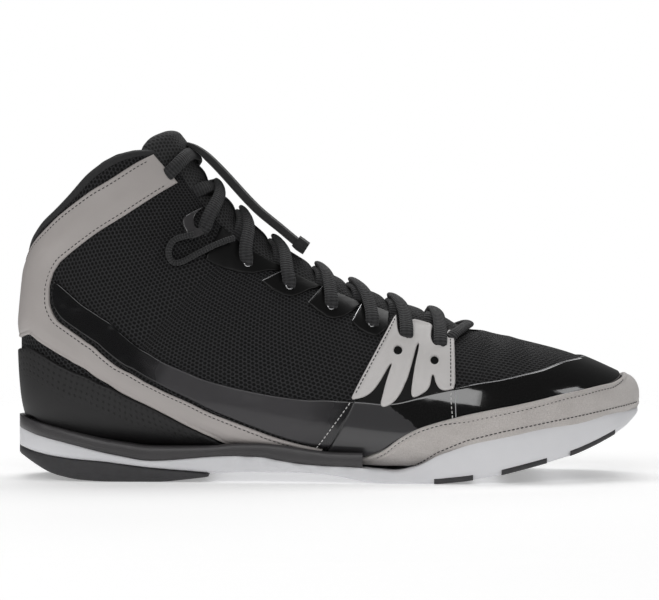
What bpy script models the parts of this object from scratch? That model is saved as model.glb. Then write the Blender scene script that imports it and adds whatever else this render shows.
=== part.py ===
"""Right wrestling shoe: hollow mesh bootie on a thin rubber sole, with bonded overlays and laces.

The toe points along +X, the outer side faces -Y and the floor is Z = 0.
The origin is the middle of the heel's flat spot.
"""
import math

import bmesh
import bpy
import numpy as np

# Driving sizes, in metres
LENGTH = 0.288
BALL_WIDTH = 0.090
HEEL_WIDTH = 0.066
TOP_HEIGHT = 0.162
BED_HEIGHT = 0.014
TOE_SPRING = 0.0265
WALL = 0.0018
FIT = 0.00035
SOLE_FIT = 0.0006
OVERLAY = 0.0011
COUNTER_THICKNESS = 0.0016
INSOLE_THICKNESS = 0.003
TONGUE_THICKNESS = 0.005
THROAT_WIDTH = 0.040
LACE_WIDTH = 0.0056
LACE_THICKNESS = 0.0034
COVER_THICKNESS = 0.0022
COVER_WIDTH = 0.022
LOOP_DIAMETER = 0.0028
HEEL_REST = 0.19 * LENGTH

# Sections of the last, each a flat loop from its base point at the sole or heel to its top point at the instep
# Columns: station, top point along the length, top height, base point along the length, bed height,
# rise of the base up the heel, toe spring, outer half, inner half, base centre, top centre, heel blend,
# height of the widest place, roundness above it, squareness below it
SECTIONS = (
    (0.00, 0.995, 0.077, 0.995, 0.464, 0.000, 1.000, 0.000, 0.000, 0.100, 0.100, 0.00, 0.45, 2.20, 2.2),
    (0.03, 0.990, 0.113, 0.989, 0.463, 0.000, 0.925, 0.106, 0.106, 0.100, 0.100, 0.00, 0.42, 2.20, 2.4),
    (0.07, 0.978, 0.145, 0.977, 0.464, 0.000, 0.834, 0.189, 0.189, 0.097, 0.097, 0.00, 0.40, 2.20, 2.7),
    (0.12, 0.958, 0.183, 0.958, 0.463, 0.000, 0.710, 0.261, 0.256, 0.089, 0.091, 0.00, 0.38, 2.20, 3.0),
    (0.18, 0.927, 0.232, 0.927, 0.464, 0.000, 0.566, 0.344, 0.328, 0.070, 0.078, 0.00, 0.36, 2.20, 3.4),
    (0.25, 0.882, 0.292, 0.882, 0.464, 0.000, 0.389, 0.417, 0.400, 0.042, 0.056, 0.00, 0.34, 2.20, 3.8),
    (0.32, 0.826, 0.345, 0.826, 0.465, 0.000, 0.230, 0.470, 0.461, 0.017, 0.039, 0.00, 0.33, 2.15, 4.0),
    (0.39, 0.767, 0.391, 0.764, 0.464, 0.000, 0.106, 0.498, 0.496, -0.003, 0.028, 0.00, 0.33, 2.10, 4.0),
    (0.46, 0.705, 0.433, 0.696, 0.465, 0.000, 0.026, 0.492, 0.483, -0.017, 0.022, 0.00, 0.33, 2.10, 4.0),
    (0.52, 0.649, 0.465, 0.625, 0.464, 0.000, 0.000, 0.486, 0.463, -0.028, 0.017, 0.15, 0.33, 2.15, 3.8),
    (0.58, 0.590, 0.500, 0.538, 0.536, 0.000, 0.000, 0.491, 0.442, -0.033, 0.011, 0.40, 0.33, 2.20, 3.6),
    (0.64, 0.530, 0.543, 0.431, 0.714, 0.000, 0.000, 0.500, 0.446, -0.033, 0.006, 0.65, 0.34, 2.30, 3.4),
    (0.70, 0.474, 0.590, 0.312, 0.893, 0.000, 0.000, 0.511, 0.468, -0.022, 0.000, 0.85, 0.36, 2.40, 3.2),
    (0.75, 0.428, 0.639, 0.191, 1.000, 0.000, 0.000, 0.523, 0.492, -0.011, 0.000, 1.00, 0.38, 2.50, 3.0),
    (0.80, 0.386, 0.693, 0.076, 1.107, 0.000, 0.000, 0.508, 0.492, 0.000, 0.000, 1.00, 0.41, 2.50, 2.8),
    (0.84, 0.355, 0.744, 0.023, 1.000, 0.068, 0.000, 0.500, 0.492, 0.000, 0.000, 1.00, 0.44, 2.50, 2.5),
    (0.88, 0.325, 0.799, 0.007, 1.000, 0.198, 0.000, 0.492, 0.492, 0.000, 0.000, 1.00, 0.47, 2.50, 2.3),
    (0.91, 0.300, 0.852, 0.005, 1.000, 0.321, 0.000, 0.492, 0.492, 0.000, 0.000, 1.00, 0.49, 2.50, 2.2),
    (0.94, 0.274, 0.910, 0.010, 1.000, 0.438, 0.000, 0.500, 0.500, 0.000, 0.000, 1.00, 0.50, 2.50, 2.2),
    (0.97, 0.248, 0.969, 0.018, 1.000, 0.549, 0.000, 0.515, 0.515, 0.000, 0.000, 1.00, 0.50, 2.40, 2.2),
    (1.00, 0.220, 1.034, 0.031, 1.000, 0.660, 0.000, 0.530, 0.530, 0.000, 0.000, 1.00, 0.50, 2.40, 2.2),
)


def curve(knots, values):
    """Natural cubic curve through values at knots, as a function of place."""
    knots = np.asarray(knots, float)
    values = np.asarray(values, float)
    step = np.diff(knots)
    count = len(knots)
    system = np.eye(count)
    bends = np.zeros(count)
    for i in range(1, count - 1):
        system[i, i - 1:i + 2] = step[i - 1], 2 * (step[i - 1] + step[i]), step[i]
        bends[i] = 6 * ((values[i + 1] - values[i]) / step[i] - (values[i] - values[i - 1]) / step[i - 1])
    second = np.linalg.solve(system, bends)

    def read(at):
        at = np.asarray(at, float)
        i = np.clip(np.searchsorted(knots, at) - 1, 0, count - 2)
        a = (knots[i + 1] - at) / step[i]
        b = 1 - a
        bend = (a ** 3 - a) * second[i] + (b ** 3 - b) * second[i + 1]
        return a * values[i] + b * values[i + 1] + bend * step[i] ** 2 / 6
    return read


def column(table, index):
    """Curve through one column of a table, over its first column."""
    return curve([row[0] for row in table], [row[index] for row in table])


TOP_X, TOP_Z, BASE_X, BED, RISE, SPRING, OUTER, INNER, BASE_Y, TOP_Y, BLEND, WIDEST, ROUND, SQUARE = [
    column(SECTIONS, i) for i in range(1, 15)]


def section_ends(s):
    """Base point and top point of the section at station s."""
    spring = SPRING(s) * TOE_SPRING
    base = np.stack([BASE_X(s) * LENGTH, BASE_Y(s) * BALL_WIDTH,
                     BED(s) * BED_HEIGHT + RISE(s) * TOP_HEIGHT + spring], -1)
    top = np.stack([TOP_X(s) * LENGTH, TOP_Y(s) * BALL_WIDTH, TOP_Z(s) * TOP_HEIGHT + spring], -1)
    return base, top


def half_width(s, side):
    """Half width of the section on the outer side (-1) or the inner side (+1)."""
    local = BALL_WIDTH + (HEEL_WIDTH - BALL_WIDTH) * BLEND(s)
    return local * np.where(side < 0, OUTER(s), INNER(s))


def last_point(s, side, angle):
    """Point of the last: a superellipse between the section's ends, read by the angle about its widest place."""
    base, top = section_ends(s)
    power = np.where(np.sin(angle) >= 0, ROUND(s), SQUARE(s))
    reach = (np.abs(np.cos(angle)) ** power + np.abs(np.sin(angle)) ** power) ** (-1 / power)
    height = reach * np.sin(angle)
    widest = WIDEST(s)
    share = widest + height * np.where(height >= 0, 1 - widest, widest)
    point = base + (top - base) * share[..., None]
    point[..., 1] += side * half_width(s, side) * reach * np.cos(angle)
    point[..., 0] -= HEEL_REST
    return point


def last_normal(s, side, angle):
    """Outward direction of the last, from its slopes along and around."""
    step = 0.002
    along = last_point(np.minimum(s + step, 1), side, angle) - last_point(np.maximum(s - step, 0), side, angle)
    around = last_point(s, side, angle + step) - last_point(s, side, angle - step)
    normal = np.cross(along, around)
    normal /= np.maximum(np.linalg.norm(normal, axis=-1, keepdims=True), 1e-12)
    base, top = section_ends(s)
    middle = base + (top - base) * WIDEST(s)[..., None]
    middle[..., 0] -= HEEL_REST + 0.02 * LENGTH
    outward = np.sum(normal * (last_point(s, side, angle) - middle), axis=-1, keepdims=True)
    return normal * np.where(outward < 0, -1, 1)


def last_offset(s, side, angle, off):
    """Point at a distance off outside the last."""
    s, side, angle, off = np.broadcast_arrays(s, side, angle, off)
    return last_point(s, side, angle) + last_normal(s, side, angle) * off[..., None]


def angle_at(s, share):
    """Angle of the point that lies a share of the way up its section."""
    s = np.asarray(s, float)
    height = (share - WIDEST(s)) / np.where(share >= WIDEST(s), 1 - WIDEST(s), WIDEST(s))
    height = np.clip(height, -1, 1)
    power = np.where(height >= 0, ROUND(s), SQUARE(s))
    return np.arctan2(height, (1 - np.abs(height) ** power) ** (1 / power))


def angle_of_width(s, side, width, upper):
    """Angle of the point at a given distance from the section's centre, above or below its widest place."""
    across = np.clip(width / np.maximum(half_width(s, side), 1e-6), 0, 1)
    power = ROUND(s) if upper else SQUARE(s)
    height = (1 - across ** power) ** (1 / power)
    return np.arctan2(height if upper else -height, across)


def material(name, color, roughness, coat=0.0):
    """Plain shader with the piece's colour and gloss."""
    made = bpy.data.materials.new(name)
    made.use_nodes = True
    shader = made.node_tree.nodes["Principled BSDF"]
    shader.inputs["Base Color"].default_value = (*color, 1)
    shader.inputs["Roughness"].default_value = roughness
    shader.inputs["Coat Weight"].default_value = coat
    return made


def solid(name, points, faces, finish):
    """Object made from points and faces, with doubled points merged."""
    mesh = bpy.data.meshes.new(name)
    mesh.from_pydata([tuple(p) for p in points], [], faces)
    body = bmesh.new()
    body.from_mesh(mesh)
    bmesh.ops.remove_doubles(body, verts=body.verts, dist=0.00002)
    bmesh.ops.dissolve_degenerate(body, edges=body.edges, dist=0.00002)
    bmesh.ops.recalc_face_normals(body, faces=body.faces)
    quads = [face for face in body.faces if len(face.verts) == 4]
    bmesh.ops.triangulate(body, faces=quads, quad_method="SHORT_EDGE")
    body.to_mesh(mesh)
    body.free()
    mesh.shade_smooth()
    mesh.set_sharp_from_angle(angle=math.radians(40))
    made = bpy.data.objects.new(name, mesh)
    bpy.context.scene.collection.objects.link(made)
    mesh.materials.append(material(name, *finish))
    return made


def shell(name, grids, inner, outer, finish):
    """Sheet between two distances from the last.

    Each grid holds station, side and angle at its points. Both sides share the points on the ridge, on the
    centre of the base and at the toe's tip, and every open edge gets a rim between the two faces.
    """
    index = {}
    near = []
    far = []
    faces = []
    for s, side, angle, *own in grids:
        low = own[0] if own else inner
        high = own[1] if own else outer
        inside = last_offset(s, side, angle, low)
        outside = last_offset(s, side, angle, high)
        numbers = np.zeros(s.shape, int)
        for at in np.ndindex(s.shape):
            turn = round(float(angle[at]), 5)
            if s[at] < 1e-6:
                key = ("tip", turn)
            elif abs(math.cos(angle[at])) < 1e-6:
                key = ("ridge", turn, round(float(s[at]), 5))
            else:
                key = (float(side[at]), turn, round(float(s[at]), 5))
            if key not in index:
                index[key] = len(near)
                near.append(inside[at])
                far.append(outside[at])
            numbers[at] = index[key]
        for i in range(s.shape[0] - 1):
            for j in range(s.shape[1] - 1):
                ring = [numbers[i, j], numbers[i + 1, j], numbers[i + 1, j + 1], numbers[i, j + 1]]
                ring = [n for k, n in enumerate(ring) if n != ring[k - 1]]
                if len(set(ring)) == len(ring) and len(ring) > 2:
                    faces.append([int(n) for n in ring])
    rims = {}
    for face in faces:
        for a, b in zip(face, face[1:] + face[:1]):
            if (b, a) in rims:
                del rims[(b, a)]
            elif (a, b) in rims:
                del rims[(a, b)]
            else:
                rims[(a, b)] = True
    count = len(near)
    walls = [[a, b, b + count, a + count] for a, b in rims]
    back = [[n + count for n in reversed(face)] for face in faces]
    return solid(name, near + far, faces + back + walls, finish)


def grid(rows, low, high, count, side):
    """Grid of one side: stations in rows, angles from low to high in count steps."""
    share = np.linspace(0, 1, count + 1)
    s = np.repeat(rows[:, None], count + 1, axis=1)
    angle = low[:, None] + (high - low)[:, None] * share
    return s, np.full(s.shape, side), angle


def loft(name, sections, finish, closed_ends=False):
    """Solid through closed loops of points, with flat ends unless they come to a line."""
    sections = np.asarray(sections)
    rings, count = sections.shape[:2]
    faces = []
    for i in range(rings - 1):
        for j in range(count):
            k = (j + 1) % count
            faces.append([i * count + j, i * count + k, (i + 1) * count + k, (i + 1) * count + j])
    if closed_ends:
        faces.append(list(range(count)))
        faces.append([(rings - 1) * count + j for j in range(count)])
    return solid(name, sections.reshape(-1, 3), faces, finish)


def cutter(made):
    """Marks an object as a tool that leaves the model."""
    made.hide_render = True
    made.display_type = "WIRE"
    return made


def cut(target, tool, operation="DIFFERENCE"):
    """Cuts or trims the target with a closed tool."""
    boolean = target.modifiers.new(operation.title(), "BOOLEAN")
    boolean.operation = operation
    boolean.solver = "EXACT"
    boolean.object = tool


def slab(name, line, floor, side_reach):
    """Tool that fills everything between a side-view line and a level below it."""
    rings = []
    for y in (-side_reach, side_reach):
        rings.append([(x, y, z) for x, z in line] + [(x, y, floor) for x, z in reversed(line)])
    return cutter(loft(name, rings, ((0.5, 0.5, 0.5), 0.5), closed_ends=True))


# Clears the scene before modelling
for old in list(bpy.data.objects):
    bpy.data.objects.remove(old, do_unlink=True)

# Finishes: colour, roughness and coat of each material
MESH_BLACK = ((0.020, 0.020, 0.022), 0.85)
LINING = ((0.015, 0.015, 0.016), 0.9)
WHITE_RUBBER = ((0.75, 0.76, 0.78), 0.45)
DARK_RUBBER = ((0.030, 0.029, 0.031), 0.55)
RAND_RUBBER = ((0.045, 0.042, 0.043), 0.5)
GREY_LEATHER = ((0.42, 0.39, 0.38), 0.5)
GREY_SUEDE = ((0.55, 0.51, 0.49), 0.9)
STAY_LEATHER = ((0.62, 0.60, 0.58), 0.5)
GLOSS_BLACK = ((0.004, 0.004, 0.004), 0.08, 1.0)
SATIN_CHARCOAL = ((0.035, 0.033, 0.035), 0.3, 0.4)
COUNTER_BLACK = ((0.010, 0.009, 0.010), 0.6)
LACE_GREY = ((0.030, 0.030, 0.031), 0.8)
ELASTIC = ((0.012, 0.012, 0.012), 0.8)
SIDES = ((-1, "lateral"), (1, "medial"))
QUARTER_TURN = math.pi / 2

# Side view of the sole, from heel to toe
# Columns: place along the length, toe spring, underside, top of the heel rubber, top of the white wall,
# top of the rand, each height a share of the bed height above the spring
SIDE = (
    (0.001, 0.000, 0.857, 1.086, 1.679, 2.093),
    (0.008, 0.000, 0.780, 1.036, 1.657, 2.057),
    (0.024, 0.000, 0.593, 0.943, 1.521, 1.950),
    (0.058, 0.000, 0.229, 0.807, 1.357, 1.786),
    (0.097, 0.000, 0.057, 0.714, 1.179, 1.593),
    (0.141, 0.000, 0.000, 0.657, 0.957, 1.386),
    (0.208, 0.000, 0.000, 0.479, 0.686, 1.164),
    (0.240, 0.000, 0.000, 0.420, 0.700, 1.150),
    (0.309, 0.000, 0.164, 0.300, 0.821, 1.171),
    (0.325, 0.000, 0.270, 0.270, 0.840, 1.200),
    (0.351, 0.000, 0.329, 0.329, 0.857, 1.257),
    (0.396, 0.000, 0.329, 0.329, 0.821, 1.271),
    (0.429, 0.000, 0.329, 0.329, 0.679, 1.200),
    (0.462, 0.000, 0.314, 0.314, 0.593, 1.093),
    (0.503, 0.000, 0.250, 0.250, 0.543, 0.993),
    (0.538, 0.000, 0.107, 0.107, 0.529, 0.986),
    (0.572, 0.000, 0.000, 0.000, 0.450, 0.980),
    (0.608, 0.000, 0.000, 0.000, 0.379, 0.980),
    (0.646, 0.000, 0.000, 0.000, 0.607, 1.000),
    (0.665, 0.000, 0.000, 0.000, 0.880, 1.100),
    (0.715, 0.050, 0.007, 0.007, 1.157, 1.300),
    (0.769, 0.150, 0.000, 0.000, 1.229, 1.350),
    (0.837, 0.330, 0.000, 0.000, 1.157, 1.300),
    (0.888, 0.475, 0.000, 0.000, 1.050, 1.200),
    (0.920, 0.610, 0.000, 0.000, 0.914, 1.050),
    (0.960, 0.810, 0.000, 0.000, 0.657, 0.800),
    (0.983, 0.965, 0.000, 0.000, 0.414, 0.550),
    (1.000, 1.000, 0.320, 0.320, 0.379, 0.450),
)
SIDE_PLACES, SIDE_SPRING, UNDERSIDE, POD_TOP, WALL_TOP, RAND_TOP = np.array(SIDE).T

# Plan of the sole: edges on the outer and inner side
# Columns: station, place along the length, outer edge, inner edge, heel blend
PLAN = (
    (0.000, 0.001, 0.000, 0.000, 1.00),
    (0.015, 0.005, 0.129, 0.129, 1.00),
    (0.035, 0.015, 0.235, 0.235, 1.00),
    (0.060, 0.032, 0.338, 0.338, 1.00),
    (0.100, 0.064, 0.439, 0.439, 1.00),
    (0.150, 0.108, 0.505, 0.503, 1.00),
    (0.210, 0.163, 0.535, 0.530, 1.00),
    (0.280, 0.229, 0.544, 0.535, 1.00),
    (0.360, 0.312, 0.518, 0.484, 0.79),
    (0.450, 0.410, 0.512, 0.434, 0.56),
    (0.520, 0.486, 0.517, 0.409, 0.37),
    (0.590, 0.562, 0.521, 0.408, 0.18),
    (0.655, 0.635, 0.518, 0.439, 0.00),
    (0.715, 0.705, 0.533, 0.494, 0.00),
    (0.770, 0.767, 0.524, 0.520, 0.00),
    (0.820, 0.826, 0.482, 0.507, 0.00),
    (0.870, 0.882, 0.403, 0.473, 0.00),
    (0.910, 0.927, 0.309, 0.430, 0.00),
    (0.940, 0.957, 0.218, 0.381, 0.00),
    (0.965, 0.980, 0.113, 0.311, 0.00),
    (0.985, 0.994, 0.020, 0.222, 0.00),
    (1.000, 0.999, -0.100, 0.100, 0.00),
)
PLAN_X, PLAN_OUTER, PLAN_INNER, PLAN_BLEND = [column(PLAN, i) for i in range(1, 5)]
EDGE_ROUND = 0.003
WALL_LEAN = 0.0012


def side_height(place, line):
    """Height of one line of the sole's side at a place along the length."""
    spring = np.interp(place, SIDE_PLACES, SIDE_SPRING) * TOE_SPRING
    return spring + np.interp(place, SIDE_PLACES, line) * BED_HEIGHT


def sole_sections(stations, floor, roof, floor_rise=0.0, roof_rise=0.0):
    """Loops across the sole at the plan's stations, between two lines of its side."""
    loops = []
    for p in stations:
        place = float(PLAN_X(p))
        local = BALL_WIDTH + (HEEL_WIDTH - BALL_WIDTH) * float(PLAN_BLEND(p))
        outer = -float(PLAN_OUTER(p)) * local
        inner = float(PLAN_INNER(p)) * local
        half = max((inner - outer) / 2, 0)
        low = side_height(place, floor) + floor_rise
        high = side_height(place, roof) + roof_rise
        tall = max(high - low, 0.0004)
        bend = min(EDGE_ROUND, 0.4 * half)
        lean = min(WALL_LEAN, 0.2 * half)
        lift = min(0.3 * tall, EDGE_ROUND * 0.7)
        middle = (outer + inner) / 2
        x = place * LENGTH - HEEL_REST
        loops.append([
            (x, outer + lean, low + tall), (x, outer + lean * 0.2, low + tall * 0.6), (x, outer, low + lift),
            (x, outer + bend, low), (x, middle, low), (x, inner - bend, low), (x, inner, low + lift),
            (x, inner - lean * 0.2, low + tall * 0.6), (x, inner - lean, low + tall), (x, middle, low + tall)])
    return loops


def station_of(place):
    """Plan station at a place along the length."""
    stations = np.linspace(0, 1, 801)
    return float(np.interp(place, PLAN_X(stations), stations))


# Collar edge of the upper, as station and share up the section, from the heel round to the throat
COLLAR = ((0.969, 0.00), (0.983, 0.02), (0.989, 0.10), (0.989, 0.226), (0.991, 0.343), (0.995, 0.466),
          (0.994, 0.587), (0.990, 0.698), (0.983, 0.794), (0.973, 0.871), (0.966, 0.903), (0.962, 0.96))
COLLAR_ANGLES = [float(angle_at(s, np.float64(share))) for s, share in COLLAR]
COLLAR_STATIONS = [row[0] for row in COLLAR]
SHAFT_START = 0.86
THROAT_START = 0.415
# Half width of the throat: station, share of the throat's full width
THROAT = ((0.415, 0.0), (0.420, 0.16), (0.432, 0.27), (0.455, 0.35), (0.50, 0.40), (0.56, 0.42), (0.64, 0.43),
          (0.72, 0.44), (0.80, 0.46), (0.88, 0.48), (0.94, 0.50), (1.00, 0.52))
# Half width of the opening under the bootie: station, share of the section's half width
UNDERFOOT = ((0.05, 0.0), (0.058, 0.26), (0.075, 0.44), (0.11, 0.56), (0.16, 0.62), (0.25, 0.66), (0.50, 0.66),
             (0.70, 0.64), (0.76, 0.58), (0.79, 0.46), (0.805, 0.28), (0.812, 0.0))


def throat_half(s):
    """Half width of the throat at a station."""
    return np.interp(s, [row[0] for row in THROAT], [row[1] for row in THROAT]) * THROAT_WIDTH


def throat_angle(s, side, extra=0.0):
    """Angle of the throat's edge, or of a line beside it; the ridge where the throat is closed."""
    width = throat_half(s)
    angle = angle_of_width(s, side, width + np.where(width > 0, extra, 0), True)
    return np.where(s <= THROAT_START, QUARTER_TURN, angle)


def underfoot_angle(s, side):
    """Angle of the bootie's lower edge; the centre line where the bootie is closed."""
    share = np.interp(s, [row[0] for row in UNDERFOOT], [row[1] for row in UNDERFOOT])
    angle = angle_of_width(s, side, share * half_width(s, side), False)
    return np.where(share <= 0, -QUARTER_TURN, angle)


def to_collar(s, angle, drop=0.0):
    """Stretches the shaft's stations so that the last one is the collar edge."""
    edge = np.interp(angle, COLLAR_ANGLES, COLLAR_STATIONS) - drop
    return np.where(s > SHAFT_START, SHAFT_START + (s - SHAFT_START) / (1 - SHAFT_START) * (edge - SHAFT_START), s)


# Hollow bootie of open mesh
bootie_rows = np.concatenate([
    [0, 0.02, 0.05, 0.075, 0.11, 0.16, 0.21, 0.27, 0.33, 0.385, THROAT_START, 0.422, 0.436, 0.46],
    np.linspace(0.50, 0.74, 7), [0.77, 0.795, 0.812, 0.828, 0.844, SHAFT_START], np.linspace(0.888, 1, 5)])
grids = []
for side, _ in SIDES:
    s, sides, angle = grid(bootie_rows, underfoot_angle(bootie_rows, side), throat_angle(bootie_rows, side), 11, side)
    grids.append((to_collar(s, angle), sides, angle))
shell("upper", grids, -WALL, 0.0, MESH_BLACK)

# Closed form of the last, on the bootie's own facets, that hollows the sole and the rand
loops = []
for row, s in enumerate(bootie_rows):
    if s > SHAFT_START:
        break
    around = [(-1, float(angle)) for angle in grids[0][2][row]] + [(1, QUARTER_TURN)]
    around += [(1, float(angle)) for angle in grids[1][2][row][::-1]] + [(1, -QUARTER_TURN)]
    sides, angles = np.array(around, float).T
    loops.append(last_offset(np.full(angles.shape, s), sides, angles, SOLE_FIT))
hollow = cutter(loft("last_form", loops, WHITE_RUBBER, closed_ends=True))


# White sole with its side wall, cut away under the heel for the dark rubber and in bars at the forefoot
stations = np.concatenate([[0, 0.012, 0.03, 0.055, 0.09], np.linspace(0.13, 0.90, 20), [0.925, 0.95, 0.97, 0.988, 1]])
sole = loft("sole", sole_sections(stations, POD_TOP, WALL_TOP), WHITE_RUBBER)
cut(sole, hollow)

# Upright grooves of the sole's side at the arch
# Each a place along the length
GROOVES = (0.384, 0.427, 0.462, 0.502)
GROOVE_WIDTH = 0.0024
GROOVE_DEPTH = 0.0012
for number, place in enumerate(GROOVES, 1):
    p = station_of(place)
    local = BALL_WIDTH + (HEEL_WIDTH - BALL_WIDTH) * float(PLAN_BLEND(p))
    for (side, word), share in zip(SIDES, (PLAN_OUTER(p), PLAN_INNER(p))):
        deep = side * (float(share) * local - GROOVE_DEPTH)
        middle = place * LENGTH - HEEL_REST
        rings = []
        for x in (middle - GROOVE_WIDTH / 2, middle + GROOVE_WIDTH / 2):
            rings.append([(x, deep, -BED_HEIGHT), (x, side * BALL_WIDTH, -BED_HEIGHT),
                          (x, side * BALL_WIDTH, TOP_HEIGHT), (x, deep, TOP_HEIGHT)])
        cut(sole, cutter(loft(f"groove_{number}_{word}", rings, WHITE_RUBBER, closed_ends=True)))

# Dark rubber under the heel
POD_FRONT = 0.309
pod_stations = [p for p in stations if PLAN_X(p) < POD_FRONT - 0.01] + [station_of(POD_FRONT)]
loft("heel_outsole", sole_sections(pod_stations, UNDERSIDE, POD_TOP, roof_rise=-FIT), DARK_RUBBER, closed_ends=True)

# Dark bars across the forefoot
# Columns: start and end along the length
BARS = ((0.664, 0.725), (0.770, 0.842), (0.880, 0.955))
BAR_DEPTH = 0.0026
for number, (start, end) in enumerate(BARS, 1):
    places = np.linspace(start, end, 5)
    own = [station_of(place) for place in places]
    bar = sole_sections(own, UNDERSIDE, UNDERSIDE, roof_rise=BAR_DEPTH)
    loft(f"forefoot_tread_{number}", bar, DARK_RUBBER, closed_ends=True)
    room = [(place * LENGTH - HEEL_REST, side_height(place, UNDERSIDE) + BAR_DEPTH + FIT) for place in places]
    room[0] = (room[0][0] - FIT, room[0][1])
    room[-1] = (room[-1][0] + FIT, room[-1][1])
    pocket = slab(f"tread_pocket_{number}", room, -0.01, BALL_WIDTH)
    cut(sole, pocket)

# Dark rand round the heel and waist, above the white wall
RAND_FRONT = 0.552
rand_stations = [p for p in stations if PLAN_X(p) < RAND_FRONT - 0.01] + [station_of(RAND_FRONT)]
rand = loft("rand", sole_sections(rand_stations, WALL_TOP, RAND_TOP, floor_rise=FIT), RAND_RUBBER, closed_ends=True)
cut(rand, hollow)

# Line that the overlays stop at, above the rand and then above the white wall
trim_places = [float(PLAN_X(p)) for p in stations]
trim = [(-0.02 * LENGTH - HEEL_REST, side_height(trim_places[0], RAND_TOP) + FIT)]
for place in trim_places:
    if place < RAND_FRONT - 0.01:
        trim.append((place * LENGTH - HEEL_REST, side_height(place, RAND_TOP) + FIT))
trim.append((RAND_FRONT * LENGTH - HEEL_REST + FIT, side_height(RAND_FRONT, RAND_TOP) + FIT))
trim.append((RAND_FRONT * LENGTH - HEEL_REST + 2 * FIT, side_height(RAND_FRONT, WALL_TOP) + FIT))
for place in trim_places:
    if place > RAND_FRONT:
        trim.append((place * LENGTH - HEEL_REST, side_height(place, WALL_TOP) + FIT))
trim.append((1.05 * LENGTH - HEEL_REST, side_height(1.0, WALL_TOP) + FIT))
below_trim = slab("sole_line", trim, -0.01, BALL_WIDTH)

# Padded cuff inside the top of the shaft
CUFF_START = 0.90
CUFF_THICKNESS = 0.005
TONGUE_OVERLAP = 0.0085
TONGUE_CLEARANCE = 0.0025
cuff_rows = np.linspace(CUFF_START, 1, 4)
grids = []
for side, _ in SIDES:
    high = angle_of_width(cuff_rows, side, throat_half(cuff_rows) + TONGUE_OVERLAP + TONGUE_CLEARANCE, True)
    s, sides, angle = grid(cuff_rows, np.full(cuff_rows.shape, -QUARTER_TURN), high, 9, side)
    grids.append((to_collar(s, angle), sides, angle))
shell("collar", grids, -WALL - FIT - CUFF_THICKNESS, -WALL - FIT, LINING)

# Insole on the bootie's turned edge
INSOLE_SHARE = 0.70
INSOLE_CLEARANCE = 0.0013
insole_rows = np.linspace(0.105, 0.785, 12)
grids = []
for side, _ in SIDES:
    high = angle_of_width(insole_rows, side, INSOLE_SHARE * half_width(insole_rows, side), False)
    grids.append(grid(insole_rows, np.full(insole_rows.shape, -QUARTER_TURN), high, 3, side))
insole_face = -WALL - INSOLE_CLEARANCE
shell("insole", grids, insole_face - INSOLE_THICKNESS, insole_face, LINING)

# Padded tongue under the throat
TONGUE_START = 0.435
TONGUE_TOP = 0.978
TONGUE_BULGE = 0.0022
TONGUE_SHOULDER = 0.90
TONGUE_DROP = 0.020
TONGUE_CROWN = 0.0045
CROWN_START = 0.925
CROWN_RUN = 0.03
tongue_rows = np.linspace(TONGUE_START, 1, 13)
grids = []
for side, _ in SIDES:
    low = angle_of_width(tongue_rows, side, throat_half(tongue_rows) + TONGUE_OVERLAP, True)
    s, sides, angle = grid(tongue_rows, low, np.full(tongue_rows.shape, QUARTER_TURN), 5, side)
    middle = (angle - low[:, None]) / (QUARTER_TURN - low[:, None])
    top = TONGUE_TOP - TONGUE_DROP * (1 - middle) ** 2
    stretched = TONGUE_SHOULDER + (s - TONGUE_SHOULDER) / (1 - TONGUE_SHOULDER) * (top - TONGUE_SHOULDER)
    s = np.where(s > TONGUE_SHOULDER, stretched, s)
    swell = TONGUE_BULGE + TONGUE_CROWN * np.clip((s - CROWN_START) / CROWN_RUN, 0, 1)
    far = -WALL - 2 * FIT + swell * np.clip(middle * 2 - 0.9, 0, 1)
    grids.append((s, sides, angle, far - TONGUE_THICKNESS, far))
shell("tongue", grids, 0, 0, LINING)

# Bonded overlays lie on the bootie, each between two edges given by rungs
# Columns of each table: station and share up the section at the lower edge, then at the upper edge
OVERLAY_FIT = 0.0008
HEEL_COUNTER = (
    (0.850, 0.000, 0.900, 0.000), (0.849, 0.006, 0.899, 0.010), (0.846, 0.016, 0.898, 0.026),
    (0.843, 0.030, 0.896, 0.050), (0.826, 0.050, 0.886, 0.105),
    (0.806, 0.055, 0.868, 0.175), (0.790, 0.050, 0.848, 0.232), (0.772, 0.045, 0.828, 0.268),
    (0.757, 0.030, 0.806, 0.275), (0.740, 0.020, 0.782, 0.250), (0.728, 0.025, 0.762, 0.218),
    (0.716, 0.030, 0.742, 0.172), (0.704, 0.045, 0.722, 0.125), (0.693, 0.055, 0.702, 0.080))
COLLAR_BAND = (
    (0.967, 0.870, 0.925, 0.900), (0.971, 0.780, 0.929, 0.800), (0.975, 0.600, 0.934, 0.620),
    (0.979, 0.437, 0.939, 0.440), (0.980, 0.260, 0.940, 0.310), (0.978, 0.140, 0.940, 0.250),
    (0.976, 0.075, 0.939, 0.230), (0.973, 0.036, 0.938, 0.218), (0.969, 0.010, 0.937, 0.208),
    (0.966, 0.000, 0.936, 0.200), (0.951, 0.000, 0.932, 0.187), (0.936, 0.000, 0.926, 0.178),
    (0.921, 0.000, 0.917, 0.177), (0.908, 0.000, 0.912, 0.180), (0.907, 0.010, 0.909, 0.184),
    (0.906, 0.030, 0.904, 0.193), (0.904, 0.060, 0.897, 0.210),
    (0.893, 0.112, 0.882, 0.262), (0.875, 0.185, 0.865, 0.310), (0.856, 0.243, 0.846, 0.345),
    (0.835, 0.280, 0.825, 0.355), (0.813, 0.286, 0.802, 0.352), (0.790, 0.265, 0.778, 0.325),
    (0.768, 0.232, 0.757, 0.290), (0.748, 0.190, 0.737, 0.255), (0.728, 0.142, 0.717, 0.215),
    (0.708, 0.098, 0.698, 0.185), (0.688, 0.062, 0.678, 0.155), (0.662, 0.062, 0.654, 0.120),
    (0.638, 0.066, 0.632, 0.097), (0.615, 0.070, 0.612, 0.084))
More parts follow.
